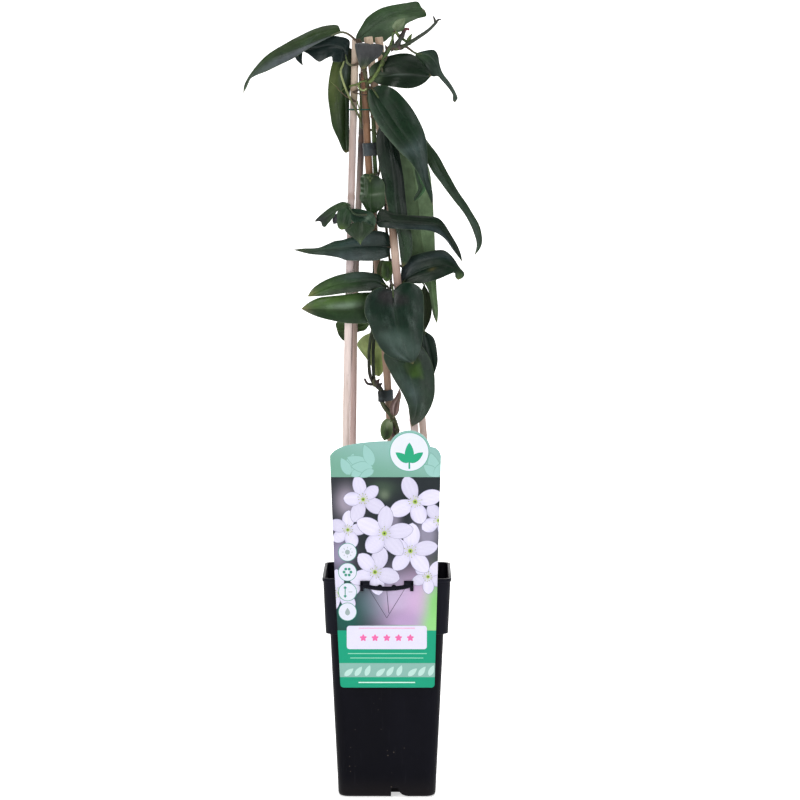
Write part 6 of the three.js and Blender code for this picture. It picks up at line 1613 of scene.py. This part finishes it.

# How each leaf looks: colour above and beneath, which side faces the viewer, and local patches of
# colour, each as share along, place across (-1 left edge, 1 right edge), reach along and across,
# screen colour and strength. Marks are outlines in X and Z, with softness, screen colour and strength.
# Many patches and marks are painted light: grey-blue painted sheen, painted shade down the shaded half or
# foot of a blade, and a painted lit patch; the rest are the leaves' own colour, such as pale scars, bronze
# spots, a purple base and yellowed tips.
LOOKS = {
    "leaf_top_left": dict(stalk=[srgb(84, 88, 66)] * 2 + [BROWN] * 2, top=(38, 55, 25), wave=0.25,
        patches=[(0.42, 0.65, 0.55, 0.55, (78, 84, 90), 0.95), (1.0, 0.0, 0.3, 1.2, (66, 80, 66), 0.8)]),
    "leaf_top_arched": dict(painted_sheen=0.3, stalk=[srgb(92, 104, 72)] * 2 + [BROWN] * 2, top=(18, 29, 29)),
    "leaf_left_hanging": dict(painted_sheen=0.5, stalk=[PALE_LIME] * 2 + [OLIVE_BARK] * 3, top=(24, 45, 16),
        patches=[(0.5, 0.8, 0.9, 0.6, (30, 42, 30), 0.8), (0.32, -0.7, 0.3, 0.4, (84, 94, 48), 0.6),
            (0.2, 0.15, 0.1, 0.3, (84, 94, 94), 0.7), (0.0, 0.3, 0.14, 1.2, (24, 34, 26), 0.9)]),
    "leaf_top_right": dict(painted_sheen=0.4, wave=0.3, top=(44, 65, 38),
        patches=[(0.15, 0.3, 0.42, 0.9, (70, 88, 70), 0.8), (0.62, 0.7, 0.14, 0.5, (88, 112, 78), 0.7)]),
    "leaf_top_small": dict(top=(98, 112, 84)),
    "leaf_top_front": dict(painted_sheen=0.2, top=(58, 59, 61),
        patches=[(0.86, 0.0, 0.1, 1.4, (34, 48, 32), 0.8), (1.0, 0.0, 0.07, 1.4, (96, 94, 52), 0.9)]),
    "leaf_right_upper": dict(painted_sheen=0.15, top=(15, 29, 18), patches=[
        (0.03, 0.0, 0.15, 1.2, (86, 104, 76), 0.85), (0.42, 0.12, 0.2, 0.07, (96, 108, 100), 0.5)]),
    "leaf_right_hooked": dict(top=(22, 36, 28),
        patches=[(0.1, 0.2, 0.14, 0.6, (44, 64, 40), 0.8), (0.75, 0.0, 0.35, 1.2, (64, 76, 68), 0.9)]),
    "leaf_right_large": dict(painted_sheen=0.35, top=(12, 34, 18),
        blades={1: dict(painted_sheen=0, top=(22, 42, 24), patches=[(0.6, 1.0, 0.5, 0.5, (50, 88, 50), 0.8)])},
        patches=[(0.56, 0.0, 0.05, 0.9, (64, 78, 78), 0.6), (0.72, 0.2, 0.14, 0.8, (50, 60, 62), 0.6),
            (0.3, -0.95, 0.5, 0.12, (70, 86, 72), 0.5)]),
    "leaf_right_trailing": dict(top=(30, 48, 26),
        patches=[(0.45, 0.0, 0.3, 1.0, (24, 38, 28), 0.6), (0.85, -0.3, 0.25, 0.8, (60, 72, 68), 0.6)]),
    # Its top tone is the leaf's dark green deepened by painted shade.
    "leaf_back_dark": dict(painted_sheen=0, top=(8, 18, 14),
        patches=[(0.62, -0.7, 0.35, 0.6, (26, 44, 30), 0.9), (0.95, 0.3, 0.25, 0.9, (28, 52, 28), 0.9)]),
    "leaf_back_pale": dict(top=(30, 44, 34), below=(92, 112, 82), under=True,
        patches=[(0.5, -1.0, 1.0, 0.7, (52, 70, 50), 1.3), (0.86, 0.4, 0.3, 0.8, (72, 104, 52), 0.9)]),
    "leaf_right_mid": dict(painted_sheen=0.15, top=(14, 31, 20), wave=0.3, patches=[
        (0.12, -0.5, 0.2, 0.5, (58, 66, 74), 0.6), (0.5, 0.2, 0.05, 0.12, (82, 76, 44), 0.6),
        (0.6, -0.65, 0.24, 0.22, (52, 60, 66), 0.5), (1.0, 0.0, 0.1, 1.2, (70, 92, 52), 0.8)]),
    "leaf_front_heart": dict(top=(5, 31, 19), patches=[(0.1, -0.5, 0.2, 0.4, (34, 38, 40), 0.5),
        (0.8, -0.5, 0.2, 0.14, (78, 92, 90), 0.5), (0.86, 0.2, 0.14, 0.3, (50, 66, 58), 0.5),
        (0.7, -0.1, 0.16, 0.1, (66, 80, 76), 0.45)], marks=[
        ([(-8.5, 431.2), (-2.5, 434.6), (7.6, 432.9), (17.8, 427.8), (19.5, 422.8), (10.2, 420.2),
            (-0.8, 421.5), (-7.6, 426.1)], 4, (38, 33, 37), 0.7),
        # Painted sheen: a grey-green glint low on the blade.
        ([(-5.1, 395.8), (3.4, 399.2), (13.6, 397.5), (21.2, 390.8), (28, 385.7), (25.4, 378.9),
            (15.3, 377.2), (4.2, 382.3), (-2.5, 389.1)], 7, (64, 80, 74), 0.6)]),
    "leaf_lower_front": dict(top=(27, 45, 31), patches=[(0.62, -0.1, 0.12, 0.3, (70, 84, 84), 0.6),
        (0.3, 0.8, 0.3, 0.5, (22, 34, 28), 0.6), (0.55, -0.4, 0.2, 0.4, (60, 74, 72), 0.6),
        (0.98, 0.0, 0.12, 1.2, (76, 78, 70), 0.6)], marks=[
        # Painted light: these two marks brighten the upturned part of the blade above its fold to a lit
        # yellow-green.
        ([(14, 369.2), (18.3, 375.2), (22.1, 376.6), (27.6, 375.8), (29.1, 369.2), (30.6, 357.8),
            (26.8, 359.5), (22.1, 358.4), (17.4, 362)], 1.6, (34, 52, 24), 0.9),
        ([(22.1, 368.8), (28.2, 371.8), (29.3, 365), (30.4, 358.2), (26.8, 359.9), (21.2, 359.5),
            (19.1, 363.7)], 3, (56, 82, 30), 0.55)]),
    "leaf_lower_back": dict(top=(20, 34, 27)),
    "leaf_left_mid_upper": dict(painted_sheen=0.5, top=(12, 29, 18), wave=0.3, patches=[
        (0.8, -0.1, 0.34, 1.2, (58, 86, 42), 0.85), (0.96, 0.0, 0.08, 1.2, (110, 112, 66), 0.7),
        (0.42, -0.5, 0.16, 0.4, (62, 76, 74), 0.6), (0.5, 0.8, 0.3, 0.3, (68, 72, 66), 0.5)]),
    "leaf_left_mid_lower": dict(top=(32, 50, 30), wave=0.3, patches=[
        (0.2, 0.0, 0.2, 1.2, (20, 34, 20), 0.85), (0.72, -0.6, 0.4, 0.6, (68, 96, 40), 0.9),
        (0.5, -0.25, 0.18, 0.22, (118, 138, 120), 0.6), (0.97, 0.0, 0.08, 1.2, (108, 106, 70), 0.7)]),
    "leaf_left_spear": dict(painted_sheen=0.5, stalk=[srgb(24, 34, 30)] * 2 + [BROWN] * 2, top=(22, 36, 32),
        wave=0.3, patches=[(0.7, 0.0, 0.25, 1.2, (28, 50, 32), 0.8),
        (0.5, 0.7, 0.2, 0.5, (64, 74, 76), 0.7), (0.4, -0.4, 0.2, 0.3, (46, 66, 66), 0.6),
        (1.0, 0.0, 0.14, 1.2, (66, 76, 44), 0.7)]),
    "leaf_centre_crumpled": dict(painted_sheen=0.15, stalk=[srgb(70, 84, 50)] * 2 + [BROWN] * 2,
        top=(34, 54, 29), wave=0.8, patches=[(0.12, 0.3, 0.12, 0.8, (24, 34, 26), 0.8),
        (0.3, 0.6, 0.1, 0.4, (46, 58, 50), 0.7), (0.52, 0.4, 0.025, 0.5, (96, 108, 92), 0.7),
        (0.17, 0.0, 0.03, 0.12, (104, 118, 76), 0.8), (0.13, -0.3, 0.025, 0.2, (92, 106, 74), 0.7),
        (0.13, 0.3, 0.025, 0.2, (92, 106, 74), 0.7), (0.18, -0.92, 0.016, 0.25, (140, 156, 140), 0.8),
        (0.3, -0.94, 0.02, 0.22, (140, 156, 140), 0.8), (0.42, -0.92, 0.016, 0.25, (130, 146, 130), 0.8),
        (0.52, -0.94, 0.02, 0.22, (140, 156, 140), 0.8), (0.64, -0.92, 0.016, 0.2, (120, 136, 120), 0.7)]),
    "leaf_left_cluster": dict(painted_sheen=0.4, stalk=[srgb(48, 62, 44)] * 2 + [BROWN] * 2, top=(26, 42, 32),
        blades={0: dict(top=(46, 66, 40), patches=[(1.0, 0.0, 0.5, 1.4, (34, 34, 40), 0.95)]),
            1: dict(top=(28, 28, 34)), 2: dict(top=(38, 58, 38),
            patches=[(0.6, 0.6, 0.3, 0.7, (28, 44, 30), 0.9), (1.0, 0.0, 0.2, 1.2, (74, 96, 42), 0.9)]),
            3: dict(top=(24, 44, 32), patches=[(0.62, -0.2, 0.05, 0.8, (88, 104, 90), 0.7),
                (1.0, -0.6, 0.4, 0.4, (60, 80, 60), 0.6)]),
            4: dict(top=(36, 50, 34), patches=[(1.0, 0.0, 0.2, 0.5, (84, 104, 64), 0.9)])}),
    "leaf_right_narrow": dict(painted_sheen=0.3, stalk=[srgb(26, 34, 30)] * 2 + [BROWN] * 2, top=(10, 25, 14),
        patches=[(0.6, 0.7, 0.5, 0.4, (48, 58, 62), 0.6)]),
    "leaf_centre_curled": dict(painted_sheen=0.2, top=(62, 88, 42), blades={1: dict(top=(52, 56, 24))},
        patches=[(0.4, -0.7, 0.5, 0.5, (40, 54, 24), 0.9), (0.55, 0.95, 0.6, 0.16, (132, 150, 108), 0.8),
            (0.04, 0.3, 0.06, 0.8, (120, 138, 92), 0.8), (0.95, 0.0, 0.12, 1.0, (96, 120, 66), 0.8)],
        marks=[
            ([(-3.4, 455.3), (1.7, 453.2), (3, 448.1), (0.9, 442.1), (-2.1, 444.7), (-1.3, 449.8)], 0.8,
                (26, 40, 20), 0.9)]),
    "leaf_back_left": dict(top=(48, 62, 36), below=(52, 72, 34), under=True,
        patches=[(0.9, 0.6, 0.4, 0.8, (34, 44, 24), 1.6)]),
    "leaf_centre_pale": dict(painted_sheen=0.3, top=(168, 184, 122), patches=[
        (0.75, 0.3, 0.3, 0.6, (86, 110, 48), 0.8), (0.1, -0.4, 0.3, 0.5, (150, 164, 112), 0.8),
        (0.45, -0.9, 0.2, 0.2, (66, 84, 44), 0.7)]),
    "leaf_back_right": dict(top=(36, 48, 30), below=(32, 42, 22), under=True),
    "leaf_low_small": dict(painted_sheen=0.2, top=(58, 78, 42), patches=[
        (0.05, 0.2, 0.28, 1.0, (150, 162, 132), 0.95), (0.3, 0.2, 0.1, 0.25, (96, 112, 74), 0.8),
        (0.66, 0.35, 0.3, 0.55, (24, 34, 20), 0.95), (0.5, -0.95, 0.6, 0.2, (104, 120, 82), 0.7)]),
    "bud_scale": dict(painted_sheen=0, top=(92, 72, 68), patches=[(0.3, -0.3, 0.4, 0.16, (176, 156, 154), 0.8),
        (0.3, 0.55, 0.35, 0.2, (150, 124, 120), 0.8), (0.25, 0.15, 0.3, 0.14, (72, 48, 44), 0.8),
        (0.75, 0.5, 0.2, 0.4, (124, 116, 104), 0.7)])
}

VIEW = np.array([0, -1, 0.35])
LEAF_THICKNESS = 0.5
SIDE_VEIN = 0.47
ARCH = 0.06  # rise of each half of a blade, as a share of its width
DRY_TIP = srgb(122, 112, 66)
FINE_COLUMNS = (0, 0.035, 0.08, 0.14, 0.21, 0.28, 0.35, 0.42, 0.47, 0.52, 0.6, 0.68, 0.76, 0.84, 0.91,
                0.965, 1)
PLAIN_COLUMNS = (0, 0.06, 0.16, 0.3, 0.41, 0.47, 0.53, 0.68, 0.84, 0.95, 1)


def smoothed(rows, passes=4):
    rows = np.array(rows, float)
    for _ in range(passes):
        rows[1:-1] = (rows[:-2] + 2 * rows[1:-1] + rows[2:]) / 4
    return rows


def inside_depth(x, z, outline):
    """How far each point lies inside an outline on the front view, in mm; negative outside."""
    nearest = np.full(x.shape, 1e9)
    crossings = np.zeros(x.shape, int)
    for (x0, z0), (x1, z1) in zip(outline, outline[1:] + outline[:1]):
        dx, dz = x1 - x0, z1 - z0
        t = np.clip(((x - x0) * dx + (z - z0) * dz) / (dx * dx + dz * dz), 0, 1)
        nearest = np.minimum(nearest, np.hypot(x - x0 - t * dx, z - z0 - t * dz))
        crosses = (z0 > z) != (z1 > z)
        crossings += crosses & (x < x0 + (z - z0) * dx / (dz if dz else 1e-9))
    return np.where(crossings % 2 == 1, nearest, -nearest)


def leaf_tint(look, share, across, under, place):
    """Colour of a leaf at each point: its tone, soft patches of its own colour, painted sheen and painted
    shade, a drier tip, and a paler underside.
    """
    top = srgb(*look["top"])
    below = srgb(*look["below"]) if "below" in look else 0.55 * top + 0.45 * srgb(92, 116, 88)
    colour = np.where(under[..., None] > 0.5, below, top)
    mottle = 1 + 0.12 * bumps(place.reshape(-1, 3), 14, 5).reshape(share.shape)
    colour = colour * mottle[..., None]
    for along, side, reach, width, patch, strength in look.get("patches", ()):
        near = strength * np.exp(-((share - along) / reach) ** 2 - ((across - side) / width) ** 2)
        colour = blend(colour, srgb(*patch), near * np.where(under > 0.5, 0.4, 1))
    for outline, soft, mark, strength in look.get("marks", ()):
        near = strength * smooth_step(inside_depth(place[..., 0], place[..., 2], outline), -soft, soft)
        colour = blend(colour, srgb(*mark), near * np.where(under > 0.5, 0.4, 1))
    return blend(colour, DRY_TIP, 0.45 * smooth_step(share, 0.955, 1.0))


def with_ends(values):
    """Values on the rings of a blade, with the means of its first and last ring added for its ends."""
    return np.concatenate([values.reshape(-1, 3), [values[0].mean(axis=0), values[-1].mean(axis=0)]])


def add_blade(build, rib, left, right, look, seed):
    """A leathery blade: arched halves, sunken midrib and side veins, and a thin waving margin."""
    dice = random.Random(seed)
    rows = int(np.clip(path_length(rib) / 1.2, 16, 120))
    share = np.concatenate([np.array((0.1, 0.3, 0.6)) / rows, np.arange(1, rows) / rows,
                            1 - np.array((0.6, 0.3, 0.1)) / rows])
    middle = path_at(rib, share)
    edges = [path_at([rib[0], *side, rib[-1]], share) for side in (left, right)]
    along = unit(np.gradient(middle, axis=0))
    normal = unit(smoothed(unit(np.cross(edges[1] - edges[0], along))))
    turned_over = (np.sum(normal @ VIEW) < 0) != look.get("under", False)
    normal = -normal if turned_over else normal
    widths = [np.linalg.norm(edge - middle, axis=1) for edge in edges]
    columns = np.array(FINE_COLUMNS if max(widths[0].max(), widths[1].max()) > 8 else PLAIN_COLUMNS)
    across = np.concatenate([-columns[:0:-1], columns])
    out = np.abs(across)
    on_right = across > 0
    width = np.where(on_right, widths[1][:, None], widths[0][:, None])
    reach = np.where(on_right[:, None], (edges[1] - middle)[:, None], (edges[0] - middle)[:, None])
    flat = middle[:, None] + reach * out[:, None]
    t = share[:, None]
    ends = smooth_step(t, 0, 0.08) * smooth_step(1 - t, 0, 0.06)
    from_rib = out * width
    arch = ARCH * width * 4 * out * (1 - out)
    wave = np.zeros_like(width)
    for side in (False, True):
        waves, phase = dice.uniform(0.03, 0.045) * path_length(rib), dice.uniform(0, 6)
        size = look.get("wave", 0.55) * np.minimum(width / 11, 1)
        wave += np.where(on_right == side, size * out**2 * np.sin(2 * math.pi * waves * t + phase), 0)
    points = flat.reshape(-1, 3)
    uneven = (0.6 * bumps(points, 15, seed % 17) + 0.12 * bumps(points, 5, seed % 13)).reshape(width.shape)
    body = ends * (arch + wave + uneven)
    midrib = np.exp(-((from_rib / 0.75) ** 2)) * ends
    vein = np.exp(-(((out - SIDE_VEIN) * width / 0.6) ** 2)) * ends * smooth_step(width, 3, 7)
    half = LEAF_THICKNESS / 2 * (1 - 0.55 * out**3)
    upper = flat + normal[:, None] * (body + half - 0.34 * midrib - 0.14 * vein)[..., None]
    lower = flat + normal[:, None] * (body - half - 0.5 * midrib - 0.1 * vein)[..., None]
    rings = np.concatenate([upper, lower[:, ::-1]], axis=1)
    made, faces = lofted(rings)
    made[-2], made[-1] = rib[0], rib[-1]
    if turned_over:
        faces = [face[::-1] for face in faces]
    count = len(across)
    around = np.concatenate([across, across[::-1]])
    beneath = np.repeat([0.0, 1.0], count)
    grid = [np.broadcast_to(v, rings.shape[:2]) for v in (around, t, beneath)]
    tint = leaf_tint(look, grid[1], grid[0], grid[2], rings)
    # Each leaf's share of the material's painted sheen, kept in the form's middle value.
    painted_sheen = np.full(rings.shape[:2], look.get("painted_sheen", 1.0))
    double = np.concatenate([width, width[:, ::-1]], axis=1)
    shift = np.full(grid[0].shape, seed * 7.0)
    plan = np.stack([grid[0] * double, grid[1] * path_length(rib), shift], axis=-1)
    form = np.stack([grid[0], painted_sheen, grid[2]], axis=-1)
    build.add(made, faces, with_ends(tint), with_ends(form), with_ends(plan))


def make_leaf(number, name, blades, stalks):
    look = LOOKS[name]
    build = Build()
    for k, (rib, left, right) in enumerate(blades):
        own = look.get("blades", {}).get(k, {})
        add_blade(build, rib, left, right, {**look, **own}, 100 + 10 * number + k)
    tone = blend(srgb(*look["top"]), srgb(96, 108, 68), 0.4)
    stalk = look.get("stalk", [tone, tone, BROWN, BROWN])
    heart = path_at(blades[0][0], [0.09])[0]
    for k, path in enumerate(stalks):
        route = path if k else [tuple(heart), *path]
        stem(build, route, (0.7, 0.9, 0.95, 1.0, 1.15), stalk, joints=(1.0,),
             sides=9, flutes=4, depth=0.06, spacing=1.3, slot=1)
    build.piece("fine_" + name, [LEAF, SHOOT], replaces=[name], sharp=75)


for leaf_number, (leaf_name, leaf) in enumerate(LEAVES.items()):
    make_leaf(leaf_number, leaf_name, **leaf)

# ----------------------------------------------------------------------------------------------
# Floor, light and camera
# ----------------------------------------------------------------------------------------------


def make_floor():
    """White sweep: its wall stands behind every viewpoint, and it glows more far from the plant."""
    m = Material("white_sweep")
    place = m.place()
    grain = m.noise(place, 3.0)
    colour = m.mix(grain, srgb(250, 250, 250), srgb(254, 254, 254))
    distance = m.node("VectorMath", {0: place}, "Value", operation="LENGTH")
    m.tree.links.new(m.fade(distance, 0.8, 2.5, 0.6, 1.0), m.shader.inputs["Emission Strength"])
    m.finish(colour, m.fade(grain, 0.3, 0.7, 0.9, 0.95), Emission_Color=(1, 1, 1, 1))
    reach, start, curve = 14000, 3800, 2400
    bend = np.linspace(0.1, math.pi / 2, 12)
    profile = [(-reach, 0), (start, 0)]
    profile += [(start + curve * math.sin(a), curve - curve * math.cos(a)) for a in bend]
    profile += [(start + curve, reach)]
    points = [(x, y, z - 0.4) for x in (-reach, reach) for y, z in profile]
    count = len(profile)
    floor = plain_object("sweep", points, [(i, i + count, i + count + 1, i + 1) for i in range(count - 1)])
    floor.data.materials.append(m.data)
    floor.data.shade_smooth()


def add_light(name, place, aim, size, power, colour=(1, 1, 1)):
    data = bpy.data.lights.new(name, "AREA")
    data.shape = "RECTANGLE"
    data.size, data.size_y = size
    data.energy = power
    data.color = colour
    light = add_object(name, data)
    light.location = place
    light.rotation_euler = (Vector(aim) - Vector(place)).to_track_quat("-Z", "Y").to_euler()


def make_light():
    """White all round to the eye, dimmer in reflections, with soft boxes at the left, right and top."""
    world = bpy.data.worlds.new("studio")
    world.use_nodes = True
    bpy.context.scene.world = world
    tree = world.node_tree
    back = tree.nodes["Background"]
    seen = tree.nodes.new("ShaderNodeLightPath")
    strength = tree.nodes.new("ShaderNodeMapRange")
    strength.inputs["To Min"].default_value = 0.16
    strength.inputs["To Max"].default_value = 1.0
    tree.links.new(seen.outputs["Is Camera Ray"], strength.inputs["Value"])
    tree.links.new(strength.outputs["Result"], back.inputs["Strength"])
    back.inputs["Color"].default_value = (1, 1, 1, 1)
    add_light("key_left", (-1.5, -2.0, 1.5), (0, 0, 0.4), (1.2, 1.6), 28, (1.0, 0.985, 0.96))
    add_light("fill_right", (1.7, -1.7, 0.9), (0, 0, 0.35), (1.0, 1.6), 14, (0.96, 0.98, 1.0))
    add_light("top_soft", (0.1, -0.2, 2.2), (0, 0, 0.5), (1.4, 1.4), 13)
    add_light("back_soft", (0.4, 1.6, 1.4), (0, 0, 0.5), (1.2, 1.2), 7)


SENSOR_WIDTH = 36
FOCAL_LENGTH = 3501 / 800  # as a share of the sensor's width


def make_camera():
    data = bpy.data.cameras.new("camera")
    data.sensor_width = SENSOR_WIDTH
    data.lens = SENSOR_WIDTH * FOCAL_LENGTH
    data.clip_end = 60
    camera = add_object("camera", data)
    camera.location = (0.0184, -3.0, 0.5984)
    camera.rotation_euler = (math.radians(90 - 4.97), 0, math.radians(0.14))
    bpy.context.scene.camera = camera


make_floor()
make_light()
make_camera()
bpy.context.scene.view_settings.view_transform = "Standard"
